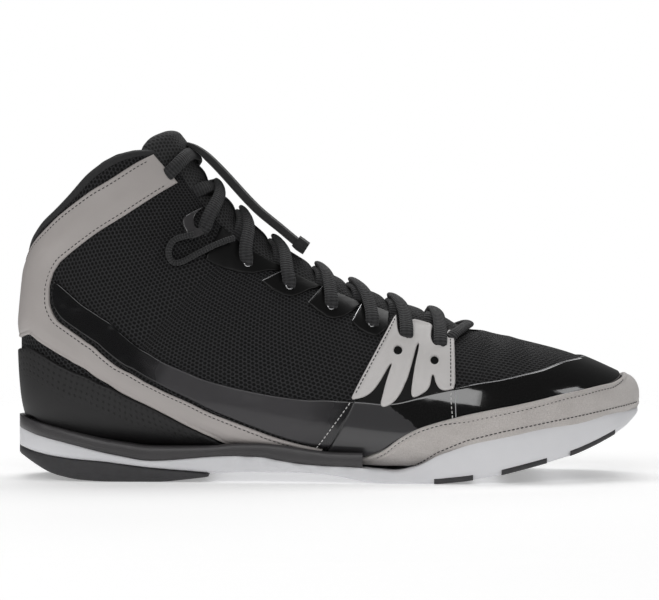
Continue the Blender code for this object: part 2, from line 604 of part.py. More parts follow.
SIDE_PANEL = (
    (0.612, 0.098, 0.601, 0.385), (0.632, 0.113, 0.622, 0.372), (0.655, 0.137, 0.645, 0.353),
    (0.678, 0.170, 0.672, 0.348), (0.698, 0.200, 0.696, 0.352), (0.717, 0.231, 0.716, 0.360),
    (0.737, 0.271, 0.737, 0.374), (0.757, 0.307, 0.757, 0.400), (0.778, 0.342, 0.778, 0.424),
    (0.802, 0.368, 0.802, 0.447), (0.825, 0.371, 0.826, 0.452), (0.846, 0.361, 0.851, 0.439),
    (0.865, 0.326, 0.875, 0.390), (0.882, 0.278, 0.893, 0.335), (0.897, 0.228, 0.910, 0.280),
    (0.909, 0.201, 0.922, 0.235), (0.918, 0.194, 0.928, 0.207))
MUDGUARD = (
    (0.607, 0.105, 0.594, 0.392), (0.590, 0.100, 0.580, 0.400), (0.574, 0.105, 0.562, 0.405),
    (0.559, 0.135, 0.548, 0.420), (0.540, 0.213, 0.524, 0.462), (0.516, 0.284, 0.500, 0.507),
    (0.490, 0.331, 0.478, 0.540), (0.466, 0.370, 0.460, 0.565), (0.430, 0.412, 0.425, 0.610),
    (0.390, 0.448, 0.386, 0.652), (0.350, 0.487, 0.346, 0.710), (0.307, 0.527, 0.307, 0.775),
    (0.270, 0.577, 0.270, 0.865), (0.237, 0.622, 0.235, 0.940), (0.207, 0.660, 0.205, 1.000),
    (0.180, 0.705, 0.180, 1.000), (0.150, 0.768, 0.150, 1.000), (0.122, 0.862, 0.122, 1.000),
    (0.106, 0.940, 0.106, 1.000), (0.099, 0.985, 0.099, 1.000))
TOE_GUARD = (
    (0.000, 0.000, 0.000, 1.000), (0.020, 0.050, 0.020, 1.000), (0.045, 0.080, 0.045, 1.000),
    (0.068, 0.090, 0.068, 1.000), (0.082, 0.090, 0.081, 1.000), (0.096, 0.090, 0.090, 0.950),
    (0.117, 0.100, 0.109, 0.860), (0.148, 0.110, 0.140, 0.755), (0.186, 0.110, 0.175, 0.690),
    (0.232, 0.110, 0.225, 0.612), (0.276, 0.110, 0.270, 0.560), (0.316, 0.110, 0.312, 0.508),
    (0.358, 0.100, 0.355, 0.465), (0.398, 0.090, 0.395, 0.430), (0.443, 0.080, 0.440, 0.385),
    (0.470, 0.060, 0.466, 0.352), (0.495, 0.050, 0.490, 0.315), (0.517, 0.040, 0.514, 0.268),
    (0.536, 0.035, 0.535, 0.200), (0.552, 0.030, 0.552, 0.120), (0.564, 0.030, 0.566, 0.065))
# Fingers of the eyestay: start and end station of each, and the lower edge's share up the section at both
FINGERS = ((0.463, 0.492, 0.580, 0.545), (0.505, 0.536, 0.520, 0.462), (0.548, 0.566, 0.445, 0.425),
           (0.578, 0.598, 0.418, 0.412))
FINGER_ROOT = 0.64
# Lower edges of the eyelet pieces: station, share of the facing's depth below the throat's edge
FACING_DEPTH = 0.0080
FACING = (
    (0.603, 0.20), (0.616, 0.50), (0.632, 0.66), (0.650, 0.50), (0.667, 0.15), (0.680, 0.55), (0.695, 0.80),
    (0.711, 0.80), (0.728, 0.64), (0.745, 0.20), (0.760, 0.52), (0.776, 0.72), (0.795, 0.80), (0.814, 0.74),
    (0.830, 0.50), (0.843, 0.22))
ANKLE_TAB = ((0.856, 0.40), (0.866, 0.74), (0.880, 0.82), (0.893, 0.66), (0.899, 0.40))
EDGE_MARGIN = 0.0012


def rungs(table, side, across, between=1):
    """Grid of one side between the two edges of a table, with straight steps between its rungs."""
    rows = np.array(table, float)
    place = np.arange(len(rows))
    fine = np.linspace(0, len(rows) - 1, (len(rows) - 1) * between + 1)
    low_s, low_share, high_s, high_share = [np.interp(fine, place, rows[:, i]) for i in range(4)]
    share = np.linspace(0, 1, across + 1)
    low = angle_at(low_s, low_share)
    high = angle_at(high_s, high_share)
    s = low_s[:, None] + (high_s - low_s)[:, None] * share
    return s, np.full(s.shape, side), low[:, None] + (high - low)[:, None] * share


def overlay(name, grids, thickness, finish, trimmed=False):
    """Bonded overlay on the bootie, stopped at the line of the sole where it reaches it."""
    made = shell(name, grids, OVERLAY_FIT, OVERLAY_FIT + thickness, finish)
    if trimmed:
        cut(made, below_trim)


def to_throat(table, side, across):
    """Grid from a lower edge up to the edge of the throat."""
    s, depth = np.array(table).T
    low = angle_of_width(s, side, throat_half(s) + EDGE_MARGIN + depth * FACING_DEPTH, True)
    high = throat_angle(s, side, EDGE_MARGIN)
    return grid(s, low, high, across, side)


overlay("heel_counter", [rungs(HEEL_COUNTER, side, 3) for side, _ in SIDES], COUNTER_THICKNESS, COUNTER_BLACK, True)
overlay("collar_band", [rungs(COLLAR_BAND, side, 3) for side, _ in SIDES], OVERLAY, GREY_LEATHER, True)
overlay("mudguard", [rungs(MUDGUARD, side, 3) for side, _ in SIDES], OVERLAY, GLOSS_BLACK, True)
overlay("toe_guard", [rungs(TOE_GUARD, side, 4) for side, _ in SIDES], COUNTER_THICKNESS, GREY_SUEDE, True)
for side, word in SIDES:
    overlay(f"side_panel_{word}", [rungs(SIDE_PANEL, side, 3)], OVERLAY, SATIN_CHARCOAL, True)
    columns = np.array([s for finger in FINGERS for s in finger[:2]])
    root = np.full(columns.shape, FINGER_ROOT)
    stay = [grid(columns, angle_at(columns, root), throat_angle(columns, side, EDGE_MARGIN), 4, side)]
    for start, end, low_start, low_end in FINGERS:
        pair = np.array([start, end])
        stay.append(grid(pair, angle_at(pair, np.array([low_start, low_end])),
                         angle_at(pair, np.full(2, FINGER_ROOT)), 2, side))
    overlay(f"eyestay_{word}", stay, OVERLAY, STAY_LEATHER)
    overlay(f"lace_facing_{word}", [to_throat(FACING, side, 2)], OVERLAY, GLOSS_BLACK)
    overlay(f"ankle_tab_{word}", [to_throat(ANKLE_TAB, side, 2)], OVERLAY, GLOSS_BLACK)

# Lacing: crossings from row to row of eyelets, each two strands joined where they cross
EYELETS = (0.490, 0.540, 0.590, 0.655, 0.722, 0.790, 0.862, 0.935)
END_STEP = 0.019
BAR_STEP = 0.022
INSIDE_EDGE = 0.0035
OUTSIDE_EDGE = 0.0042
STRAND_LIFT = 0.0042
STRAND_HUMP = 0.0022
STRAND_SPREAD = 0.006


def strand(name, start, end, hump, steps=5):
    """Oval lace over the tongue, from one place to another, each a station and a distance from the centre."""
    way = np.linspace(0, 1, steps + 1)
    s = start[0] + (end[0] - start[0]) * way
    y = start[1] + (end[1] - start[1]) * way
    side = np.where(y < 0, -1, 1)
    angle = angle_of_width(s, side, np.abs(y), True)
    lift = STRAND_LIFT + hump * np.exp(-(y / STRAND_SPREAD) ** 2)
    middle = last_offset(s, side, angle, lift)
    normal = last_normal(s, side, angle)
    along = np.gradient(middle, axis=0)
    along /= np.linalg.norm(along, axis=-1, keepdims=True)
    across = np.cross(along, normal)
    across /= np.linalg.norm(across, axis=-1, keepdims=True)
    up = np.cross(across, along)
    turn = np.linspace(0, 2 * math.pi, 7)[:-1]
    ring = (middle[:, None] + across[:, None] * (np.cos(turn) * LACE_WIDTH / 2)[None, :, None]
            + up[:, None] * (np.sin(turn) * LACE_THICKNESS / 2)[None, :, None])
    return loft(name, ring, LACE_GREY, closed_ends=True)


for number, (near_row, far_row) in enumerate(zip(EYELETS[:-1], EYELETS[1:]), 1):
    finish = far_row - END_STEP
    under_edge = float(throat_half(finish)) - INSIDE_EDGE
    over_edge = float(throat_half(near_row)) + OUTSIDE_EDGE
    upper_strand = strand(f"lace_crossing_{number}", (near_row, -over_edge), (finish, under_edge), STRAND_HUMP)
    lower_strand = cutter(strand(f"lace_under_{number}", (near_row, over_edge), (finish, -under_edge), 0.0))
    cut(upper_strand, lower_strand, "UNION")
bar_edge = float(throat_half(EYELETS[0])) + OUTSIDE_EDGE
bar_station = EYELETS[0] - BAR_STEP
strand("lace_bar", (bar_station, -bar_edge), (bar_station, bar_edge), 0.0)

# Elastic strap over the lacing, sewn to the top of the tongue, with a thick pull at its front end
# Columns: station, share of the rise of its underside, share of its thickness
COVER = ((0.704, 0.66, 2.1), (0.7195, 0.66, 2.1), (0.7205, 0.92, 1.0), (0.770, 0.96, 1.0), (0.820, 1.00, 1.0),
         (0.870, 1.00, 1.0), (0.915, 0.96, 1.0), (0.935, 0.84, 1.0), (0.950, 0.67, 1.0), (0.960, 0.57, 1.0))
COVER_RISE = 0.0088
s, rise, thick = np.array(COVER).T
ridge = last_point(s, np.full(s.shape, -1), np.full(s.shape, QUARTER_TURN))
normal = last_normal(s, np.full(s.shape, -1), np.full(s.shape, QUARTER_TURN))
below = ridge + normal * (rise * COVER_RISE)[:, None]
above = below + normal * (thick * COVER_THICKNESS)[:, None]
half = np.array([0, COVER_WIDTH / 2, 0])
loft("lace_cover", np.stack([below - half, below + half, above + half, above - half], 1), ELASTIC, closed_ends=True)

# Spare loop of lace lying down the outer side
# Columns: station, share up the section, share of the loop's height off the bootie
LOOP = ((0.867, 0.836, 2.10), (0.871, 0.817, 1.60), (0.875, 0.797, 1.15), (0.878, 0.775, 1.0), (0.877, 0.750, 1.0),
        (0.871, 0.731, 1.0), (0.861, 0.728, 1.0), (0.853, 0.744, 1.0), (0.848, 0.775, 1.0),
        (0.844, 0.808, 1.25), (0.839, 0.842, 1.85), (0.834, 0.872, 2.10), (0.828, 0.900, 2.15), (0.822, 0.922, 2.15))
LOOP_LIFT = 0.0018
LOOP_POINTS = 25
knots = np.arange(len(LOOP))
way = np.linspace(0, len(LOOP) - 1, LOOP_POINTS)
s, share, lift = [curve(knots, values)(way) for values in np.array(LOOP).T]
route = last_offset(s, -1, angle_at(s, share), lift * LOOP_LIFT)
line = bpy.data.curves.new("lace_loop", "CURVE")
line.dimensions = "3D"
line.bevel_depth = LOOP_DIAMETER / 2
line.bevel_resolution = 2
line.use_fill_caps = True
spline = line.splines.new("POLY")
spline.points.add(LOOP_POINTS - 1)
for point, place in zip(spline.points, route):
    point.co = (*place, 1)
line.materials.append(material("lace_loop", *LACE_GREY))
bpy.context.scene.collection.objects.link(bpy.data.objects.new("lace_loop", line))
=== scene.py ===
"""Right wrestling shoe, seen from its outer side, put together from the form outwards.

The toe points along +X, the outer side faces -Y and the floor is Z = 0.
"""
import math

import bmesh
import bpy
import numpy as np
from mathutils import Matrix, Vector
from mathutils.geometry import delaunay_2d_cdt


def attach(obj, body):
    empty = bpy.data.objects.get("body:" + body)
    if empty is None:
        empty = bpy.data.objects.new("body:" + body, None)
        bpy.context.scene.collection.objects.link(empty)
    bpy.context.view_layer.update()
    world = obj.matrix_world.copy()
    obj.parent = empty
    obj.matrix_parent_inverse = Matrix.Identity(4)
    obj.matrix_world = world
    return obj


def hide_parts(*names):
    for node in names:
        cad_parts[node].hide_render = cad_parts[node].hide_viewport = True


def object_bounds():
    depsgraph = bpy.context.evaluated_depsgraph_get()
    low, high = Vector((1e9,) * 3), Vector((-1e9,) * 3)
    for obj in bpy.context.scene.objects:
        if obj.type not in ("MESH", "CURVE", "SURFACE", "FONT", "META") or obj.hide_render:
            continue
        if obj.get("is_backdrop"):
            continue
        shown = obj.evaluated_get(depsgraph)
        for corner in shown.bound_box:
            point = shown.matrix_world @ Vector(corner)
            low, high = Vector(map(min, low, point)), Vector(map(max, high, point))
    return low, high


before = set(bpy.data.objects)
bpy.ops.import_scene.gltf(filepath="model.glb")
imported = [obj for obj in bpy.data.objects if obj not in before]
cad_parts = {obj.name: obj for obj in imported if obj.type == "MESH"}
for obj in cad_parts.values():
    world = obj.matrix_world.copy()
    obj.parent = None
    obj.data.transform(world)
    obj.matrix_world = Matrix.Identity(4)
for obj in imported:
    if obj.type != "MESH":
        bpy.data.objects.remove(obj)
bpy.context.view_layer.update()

# Studio
# A long lens level with the outer side, a pale floor that fades into the background, and soft boxes
# overhead, in front and at both ends, whose edges give the gloss its long highlights.
PIXEL = 0.0004608
VIEW_MIDDLE = (0.0893, -0.010, 0.0820)
VIEW_RISE = math.radians(2.0)
LENS = 200.0
VIEW_REACH = 659 * PIXEL * LENS / 36.0

scene = bpy.context.scene
scene.view_settings.view_transform = "Standard"
camera_data = bpy.data.cameras.new("camera")
camera_data.lens = LENS
camera_data.sensor_width = 36.0
camera_data.clip_end = 50
camera = bpy.data.objects.new("camera", camera_data)
scene.collection.objects.link(camera)
camera.location = Vector(VIEW_MIDDLE) + VIEW_REACH * Vector((0, -math.cos(VIEW_RISE), math.sin(VIEW_RISE)))
camera.rotation_euler = (math.pi / 2 - VIEW_RISE, 0, 0)
scene.camera = camera

world = bpy.data.worlds.new("studio")
world.use_nodes = True
world.node_tree.nodes["Background"].inputs["Color"].default_value = (1, 1, 1, 1)
world_ray = world.node_tree.nodes.new("ShaderNodeLightPath").outputs["Is Camera Ray"]
world_level = world.node_tree.nodes.new("ShaderNodeMapRange")
world_level.inputs["To Min"].default_value = 0.07
world_level.inputs["To Max"].default_value = 1.0
world.node_tree.links.new(world_ray, world_level.inputs["Value"])
world.node_tree.links.new(world_level.outputs[0], world.node_tree.nodes["Background"].inputs["Strength"])
scene.world = world


def soft_box(name, place, aim, width, height, power):
    """Area light at a place, turned to face an aim."""
    data = bpy.data.lights.new(name, "AREA")
    data.shape = "RECTANGLE"
    data.size = width
    data.size_y = height
    data.energy = power
    made = bpy.data.objects.new(name, data)
    scene.collection.objects.link(made)
    made.location = place
    made.rotation_euler = (Vector(aim) - Vector(place)).to_track_quat("-Z", "Y").to_euler()
    made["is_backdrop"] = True


soft_box("box_top", (0.05, 0.50, 1.25), (0.09, 0, 0.05), 1.2, 0.7, 8.5)
soft_box("box_front", (-0.25, -1.3, 0.9), (0.09, 0, 0.06), 1.3, 0.6, 8.0)
soft_box("box_toe", (1.3, -0.5, 0.6), (0.12, 0, 0.05), 0.4, 0.8, 3.0)
soft_box("box_heel", (-1.1, -0.4, 0.7), (0.0, 0, 0.08), 0.4, 0.8, 2.5)
soft_box("box_back", (0.1, 1.3, 0.8), (0.09, 0, 0.06), 0.9, 0.5, 3.0)


def node(finish, kind, settings=None, **values):
    """Adds a shader node of a kind; values are plain numbers or other nodes' sockets, by socket name."""
    made = finish.node_tree.nodes.new("ShaderNode" + kind)
    for key, value in (settings or {}).items():
        setattr(made, key, value)
    for key, value in values.items():
        socket = made.inputs[int(key[1:])] if key[0] == "n" and key[1:].isdigit() else made.inputs[key]
        if isinstance(value, bpy.types.NodeSocket):
            finish.node_tree.links.new(value, socket)
        else:
            socket.default_value = value
    return made


def ramp(finish, value, start, end, low=1.0, high=0.0, kind="LINEAR"):
    """Runs from low to high while a value goes from start to end, straight or on a smooth step."""
    made = node(finish, "MapRange", {"interpolation_type": kind}, n0=value, n1=start, n2=end, n3=low, n4=high)
    return made.outputs[0]


floor_rows = np.linspace(-6, 6, 3)
floor_x, floor_y = np.meshgrid(floor_rows, floor_rows, indexing="ij")
floor_mesh = bpy.data.meshes.new("floor")
floor_mesh.from_pydata(np.stack([floor_x, floor_y, 0 * floor_x], -1).reshape(-1, 3).tolist(), [],
                       [(0, 3, 4, 1), (1, 4, 5, 2), (3, 6, 7, 4), (4, 7, 8, 5)])
floor = bpy.data.objects.new("floor", floor_mesh)
scene.collection.objects.link(floor)
floor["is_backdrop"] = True
paper = bpy.data.materials.new("floor_paper")
paper.use_nodes = True
paper_shader = paper.node_tree.nodes["Principled BSDF"]
paper_shader.inputs["Base Color"].default_value = (0.93, 0.93, 0.93, 1)
paper_shader.inputs["Roughness"].default_value = 0.9
paper_shader.inputs["Specular IOR Level"].default_value = 0.1
paper_shader.inputs["Emission Color"].default_value = (1, 1, 1, 1)
paper_shader.inputs["Emission Strength"].default_value = 0.30
spot = node(paper, "TexCoord").outputs["Object"]
centred = node(paper, "VectorMath", {"operation": "SUBTRACT"}, n0=spot, n1=(0.09, 0.0, 0.0)).outputs[0]
reach = node(paper, "VectorMath", {"operation": "LENGTH"}, n0=centred).outputs["Value"]
shown = ramp(paper, reach, 0.22, 0.75, kind="SMOOTHSTEP")
clear = node(paper, "BsdfTransparent")
both = node(paper, "MixShader", n0=shown, n1=clear.outputs[0], n2=paper_shader.outputs[0])
paper.node_tree.links.new(both.outputs[0], paper.node_tree.nodes["Material Output"].inputs["Surface"])
floor_mesh.materials.append(paper)


# Bootie
# One sock of black open knit, pulled over the last and left open at the collar, down the throat and under
# the foot, where its turned edge is glued to the sole. Every other piece is laid on this same form.
LENGTH = 0.288
BALL_WIDTH = 0.090
HEEL_WIDTH = 0.066
TOP_HEIGHT = 0.162
BED_HEIGHT = 0.014
TOE_SPRING = 0.0265
WALL = 0.0018
FIT = 0.00035
HEEL_REST = 0.19 * LENGTH
QUARTER_TURN = math.pi / 2
SIDES = ((-1, "lateral"), (1, "medial"))

# Columns: station, top point along the length, top height, base point along the length, bed height,
# rise of the base up the heel, toe spring, outer half, inner half, base centre, top centre, heel blend,
# height of the widest place, roundness above it, squareness below it
SECTIONS = (
    (0.00, 0.995, 0.077, 0.995, 0.464, 0.000, 1.000, 0.000, 0.000, 0.100, 0.100, 0.00, 0.45, 2.20, 2.2),
    (0.03, 0.990, 0.113, 0.989, 0.463, 0.000, 0.925, 0.106, 0.106, 0.100, 0.100, 0.00, 0.42, 2.20, 2.4),
    (0.07, 0.978, 0.145, 0.977, 0.464, 0.000, 0.834, 0.189, 0.189, 0.097, 0.097, 0.00, 0.40, 2.20, 2.7),
    (0.12, 0.958, 0.183, 0.958, 0.463, 0.000, 0.710, 0.261, 0.256, 0.089, 0.091, 0.00, 0.38, 2.20, 3.0),
    (0.18, 0.927, 0.232, 0.927, 0.464, 0.000, 0.566, 0.344, 0.328, 0.070, 0.078, 0.00, 0.36, 2.20, 3.4),
    (0.25, 0.882, 0.292, 0.882, 0.464, 0.000, 0.389, 0.417, 0.400, 0.042, 0.056, 0.00, 0.34, 2.20, 3.8),
    (0.32, 0.826, 0.345, 0.826, 0.465, 0.000, 0.230, 0.470, 0.461, 0.017, 0.039, 0.00, 0.33, 2.15, 4.0),
    (0.39, 0.767, 0.391, 0.764, 0.464, 0.000, 0.106, 0.498, 0.496, -0.003, 0.028, 0.00, 0.33, 2.10, 4.0),
    (0.46, 0.705, 0.433, 0.696, 0.465, 0.000, 0.026, 0.492, 0.483, -0.017, 0.022, 0.00, 0.33, 2.10, 4.0),
    (0.52, 0.649, 0.465, 0.625, 0.464, 0.000, 0.000, 0.486, 0.463, -0.028, 0.017, 0.15, 0.33, 2.15, 3.8),
    (0.58, 0.590, 0.500, 0.538, 0.536, 0.000, 0.000, 0.491, 0.442, -0.033, 0.011, 0.40, 0.33, 2.20, 3.6),
    (0.64, 0.530, 0.543, 0.431, 0.714, 0.000, 0.000, 0.500, 0.446, -0.033, 0.006, 0.65, 0.34, 2.30, 3.4),
    (0.70, 0.474, 0.590, 0.312, 0.893, 0.000, 0.000, 0.511, 0.468, -0.022, 0.000, 0.85, 0.36, 2.40, 3.2),
    (0.75, 0.428, 0.639, 0.191, 1.000, 0.000, 0.000, 0.523, 0.492, -0.011, 0.000, 1.00, 0.38, 2.50, 3.0),
    (0.80, 0.386, 0.693, 0.076, 1.107, 0.000, 0.000, 0.508, 0.492, 0.000, 0.000, 1.00, 0.41, 2.50, 2.8),
    (0.84, 0.355, 0.744, 0.023, 1.000, 0.068, 0.000, 0.500, 0.492, 0.000, 0.000, 1.00, 0.44, 2.50, 2.5),
    (0.88, 0.325, 0.799, 0.007, 1.000, 0.198, 0.000, 0.492, 0.492, 0.000, 0.000, 1.00, 0.47, 2.50, 2.3),
    (0.91, 0.300, 0.852, 0.005, 1.000, 0.321, 0.000, 0.492, 0.492, 0.000, 0.000, 1.00, 0.49, 2.50, 2.2),
    (0.94, 0.274, 0.910, 0.010, 1.000, 0.438, 0.000, 0.500, 0.500, 0.000, 0.000, 1.00, 0.50, 2.50, 2.2),
    (0.97, 0.248, 0.969, 0.018, 1.000, 0.549, 0.000, 0.515, 0.515, 0.000, 0.000, 1.00, 0.50, 2.40, 2.2),
    (1.00, 0.220, 1.034, 0.031, 1.000, 0.660, 0.000, 0.530, 0.530, 0.000, 0.000, 1.00, 0.50, 2.40, 2.2),
)


def curve(knots, values):
    """Natural cubic through values at knots: each span is the cubic whose second slopes meet at the knots."""
    knots = np.asarray(knots, float)
    values = np.asarray(values, float)
    step = np.diff(knots)
    count = len(knots)
    system = np.eye(count)
    bends = np.zeros(count)
    for i in range(1, count - 1):
        system[i, i - 1:i + 2] = step[i - 1], 2 * (step[i - 1] + step[i]), step[i]
        bends[i] = 6 * ((values[i + 1] - values[i]) / step[i] - (values[i] - values[i - 1]) / step[i - 1])
    second = np.linalg.solve(system, bends)

    def read(at):
        at = np.asarray(at, float)
        i = np.clip(np.searchsorted(knots, at) - 1, 0, count - 2)
        a = (knots[i + 1] - at) / step[i]
        b = 1 - a
        bend = (a ** 3 - a) * second[i] + (b ** 3 - b) * second[i + 1]
        return a * values[i] + b * values[i + 1] + bend * step[i] ** 2 / 6
    return read


def unit(vectors):
    """Vectors brought to a length of one."""
    return vectors / np.maximum(np.linalg.norm(vectors, axis=-1, keepdims=True), 1e-12)


def walked(points):
    """Way walked to each point of a line, from 0 at its first."""
    return np.concatenate([[0], np.cumsum(np.linalg.norm(np.diff(points, axis=0), axis=-1))])


def read_along(at, way, points):
    """Points of a line at given ways along it, straight between its own points."""
    return np.stack([np.interp(at, way, points[:, i]) for i in range(points.shape[1])], -1)


def column(table, index):
    """Curve through one column of a table, over its first column."""
    return curve([row[0] for row in table], [row[index] for row in table])


TOP_X, TOP_Z, BASE_X, BED, RISE, SPRING, OUTER, INNER, BASE_Y, TOP_Y, BLEND, WIDEST, ROUND, SQUARE = [
    column(SECTIONS, i) for i in range(1, 15)]


def section_ends(s):
    """Base point and top point of the section at station s, each read from its columns."""
    spring = SPRING(s) * TOE_SPRING
    base = np.stack([BASE_X(s) * LENGTH, BASE_Y(s) * BALL_WIDTH,
                     BED(s) * BED_HEIGHT + RISE(s) * TOP_HEIGHT + spring], -1)
    top = np.stack([TOP_X(s) * LENGTH, TOP_Y(s) * BALL_WIDTH, TOP_Z(s) * TOP_HEIGHT + spring], -1)
    return base, top


def half_width(s, side):
    """Half width on one side: the column's share of a width that blends from the ball's to the heel's."""
    local = BALL_WIDTH + (HEEL_WIDTH - BALL_WIDTH) * BLEND(s)
    return local * np.where(side < 0, OUTER(s), INNER(s))


def last_point(s, side, angle):
    """Point of the form: a superellipse between the section's ends, by the angle about its widest place."""
    base, top = section_ends(s)
    power = np.where(np.sin(angle) >= 0, ROUND(s), SQUARE(s))
    out = (np.abs(np.cos(angle)) ** power + np.abs(np.sin(angle)) ** power) ** (-1 / power)
    height = out * np.sin(angle)
    widest = WIDEST(s)
    share = widest + height * np.where(height >= 0, 1 - widest, widest)
    point = base + (top - base) * share[..., None]
    point[..., 1] += side * half_width(s, side) * out * np.cos(angle)
    point[..., 0] -= HEEL_REST
    return point


def last_normal(s, side, angle):
    """Outward direction of the form: the cross product of its slopes along and around."""
    step = 0.002
    ahead, behind = np.minimum(s + step, 1), np.maximum(s - step, 0)
    along = last_point(ahead, side, angle) - last_point(behind, side, angle)
    around = last_point(s, side, angle + step) - last_point(s, side, angle - step)
    normal = unit(np.cross(along, around))
    base, top = section_ends(s)
    middle = base + (top - base) * WIDEST(s)[..., None]
    middle[..., 0] -= HEEL_REST + 0.02 * LENGTH
    outward = np.sum(normal * (last_point(s, side, angle) - middle), axis=-1, keepdims=True)
    return normal * np.where(outward < 0, -1, 1)


# Creases of the worn-in fabric, that every piece laid on the form follows: at the ankle where it bends, below
# the collar at the back, and across the vamp where the toes flex
# Columns: station and angle at both ends, half width in metres, height in metres, side (0 for both)
CREASES = (
    (0.905, 0.30, 0.885, 0.86, 0.0030, -0.0010, 0), (0.890, 0.28, 0.868, 0.84, 0.0028, 0.0007, 0),
    (0.868, 0.22, 0.850, 0.62, 0.0036, -0.0007, 0), (0.925, 0.45, 0.915, 0.95, 0.0028, -0.0006, -1),
    (0.945, -0.90, 0.935, -0.20, 0.0040, -0.0007, 0), (0.960, -0.60, 0.955, 0.20, 0.0036, 0.0006, 0),
    (0.400, 0.75, 0.395, 1.50, 0.0040, -0.0006, 0), (0.365, 0.80, 0.362, 1.50, 0.0036, 0.0005, 0),
    (0.325, 0.70, 0.330, 1.45, 0.0044, -0.0005, -1), (0.620, 0.20, 0.640, 0.80, 0.0050, -0.0005, 0),
    (0.700, -0.10, 0.730, 0.55, 0.0070, -0.0006, 0), (0.765, 0.10, 0.790, 0.70, 0.0060, 0.0005, 0))
# Metres that a whole station and a radian are worth where the creases lie
STATION_REACH = 0.30
ANGLE_REACH = 0.045


def creased(s, side, angle):
    """Height of the creases: for each, a bell curve of the distance from its line, faded at its ends."""
    total = np.zeros(np.shape(s))
    for s0, angle0, s1, angle1, wide, high, one_side in CREASES:
        run = np.array([(s1 - s0) * STATION_REACH, (angle1 - angle0) * ANGLE_REACH])
        long = np.linalg.norm(run)
        run = run / long
        x, y = (s - s0) * STATION_REACH, (angle - angle0) * ANGLE_REACH
        way = np.clip((x * run[0] + y * run[1]) / long, -0.2, 1.2)
        away = np.abs(x * run[1] - y * run[0]) + np.maximum(np.abs(way - 0.5) - 0.5, 0) * long
        fade = np.clip(way + 0.2, 0, 0.4) * np.clip(1.2 - way, 0, 0.4) / 0.16
        total = total + high * np.exp(-(away / wide) ** 2) * fade * np.where(one_side * side < 0, 0, 1)
    return total


def last_offset(s, side, angle, off):
    """Point at a distance off outside the creased form, along its outward direction."""
    s, side, angle, off = np.broadcast_arrays(s, side, angle, off)
    away = (off + creased(s, side, angle))[..., None]
    return last_point(s, side, angle) + last_normal(s, side, angle) * away


def angle_at(s, share):
    """Angle of the point a share of the way up its section, from the superellipse turned round."""
    s = np.asarray(s, float)
    height = (share - WIDEST(s)) / np.where(share >= WIDEST(s), 1 - WIDEST(s), WIDEST(s))
    height = np.clip(height, -1, 1)
    power = np.where(height >= 0, ROUND(s), SQUARE(s))
    return np.arctan2(height, (1 - np.abs(height) ** power) ** (1 / power))


def angle_of_width(s, side, width, upper):
    """Angle of the point at a distance from the section's centre, above or below its widest place."""
    across = np.clip(width / np.maximum(half_width(s, side), 1e-6), 0, 1)
    power = ROUND(s) if upper else SQUARE(s)
    height = (1 - across ** power) ** (1 / power)
    return np.arctan2(height if upper else -height, across)


def width_at(s, side, angle):
    """Distance from the section's centre of the point at an angle."""
    power = np.where(np.sin(angle) >= 0, ROUND(s), SQUARE(s))
    out = (np.abs(np.cos(angle)) ** power + np.abs(np.sin(angle)) ** power) ** (-1 / power)
    return half_width(s, side) * out * np.cos(angle)


def worn(made, stands_for=(), slot=None):
    """Puts a piece on the shoe's one body and hides the CAD nodes that it stands for; its slot is not used.
    """
    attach(made, "root")
    if stands_for:
        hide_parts(*stands_for)
    return made


def put(name, points, faces, finish, uv=None, stands_for=(), slot=None):
    """Object from an array of points and one of faces, shaded smooth, riding on the shoe's one body."""
    mesh = bpy.data.meshes.new(name)
    mesh.from_pydata(np.asarray(points, float).tolist(), [], np.asarray(faces).tolist())
    mesh.shade_smooth()
    mesh.set_sharp_from_angle(angle=math.radians(50))
    if uv is not None:
        corner = np.zeros(len(mesh.loops), np.int32)
        mesh.loops.foreach_get("vertex_index", corner)
        layer = mesh.uv_layers.new(name="way")
        layer.data.foreach_set("uv", np.asarray(uv, np.float32)[corner].ravel())
    mesh.materials.append(finish)
    made = bpy.data.objects.new(name, mesh)
    scene.collection.objects.link(made)
    return worn(made, stands_for, slot)


def weave(grids):
    """Joins grids of station, side and angle into one net of triangles.

    Points that fall together are merged, and each grid's faces are turned to look outwards. The net's own
    coordinates are metres along and metres down from each grid's last column.
    """
    parts = []
    quads = []
    start = 0
    for s, side, angle in grids:
        flat = last_point(s, side, angle)
        down = np.zeros(s.shape)
        down[:, :-1] = np.cumsum(np.linalg.norm(np.diff(flat, axis=1), axis=-1)[:, ::-1], axis=1)[:, ::-1]
        middle = s.shape[1] // 2
        along = walked(flat[:, middle])[:, None] + 0 * s
        index = np.arange(s.size).reshape(s.shape) + start
        start += s.size
        quad = np.stack([index[:-1, :-1], index[1:, :-1], index[1:, 1:], index[:-1, 1:]], -1)
        turn = np.cross(flat[1:, :-1] - flat[:-1, :-1], flat[:-1, 1:] - flat[:-1, :-1])
        out = last_normal(s, side, angle)[:-1, :-1]
        if np.sum(turn * out) < 0:
            quad = quad[..., ::-1]
        quads.append(quad.reshape(-1, 4))
        parts.append([a.reshape(-1) for a in (s, np.broadcast_to(side, s.shape), angle, along, down)]
                     + [flat.reshape(-1, 3)])
    s, side, angle, along, down = [np.concatenate([p[i] for p in parts]) for i in range(5)]
    flat = np.concatenate([p[5] for p in parts])
    key = np.round(flat / 0.000004).astype(np.int64)
    _, first, back = np.unique(key, axis=0, return_index=True, return_inverse=True)
    quads = back.reshape(-1)[np.concatenate(quads)]
    faces = np.concatenate([quads[:, [0, 1, 2]], quads[:, [0, 2, 3]]])
    faces = faces[(faces[:, 0] != faces[:, 1]) & (faces[:, 1] != faces[:, 2]) & (faces[:, 0] != faces[:, 2])]
    return {"s": s[first], "side": side[first], "angle": angle[first], "flat": flat[first],
            "uv": np.stack([along[first], down[first]], -1), "faces": faces}


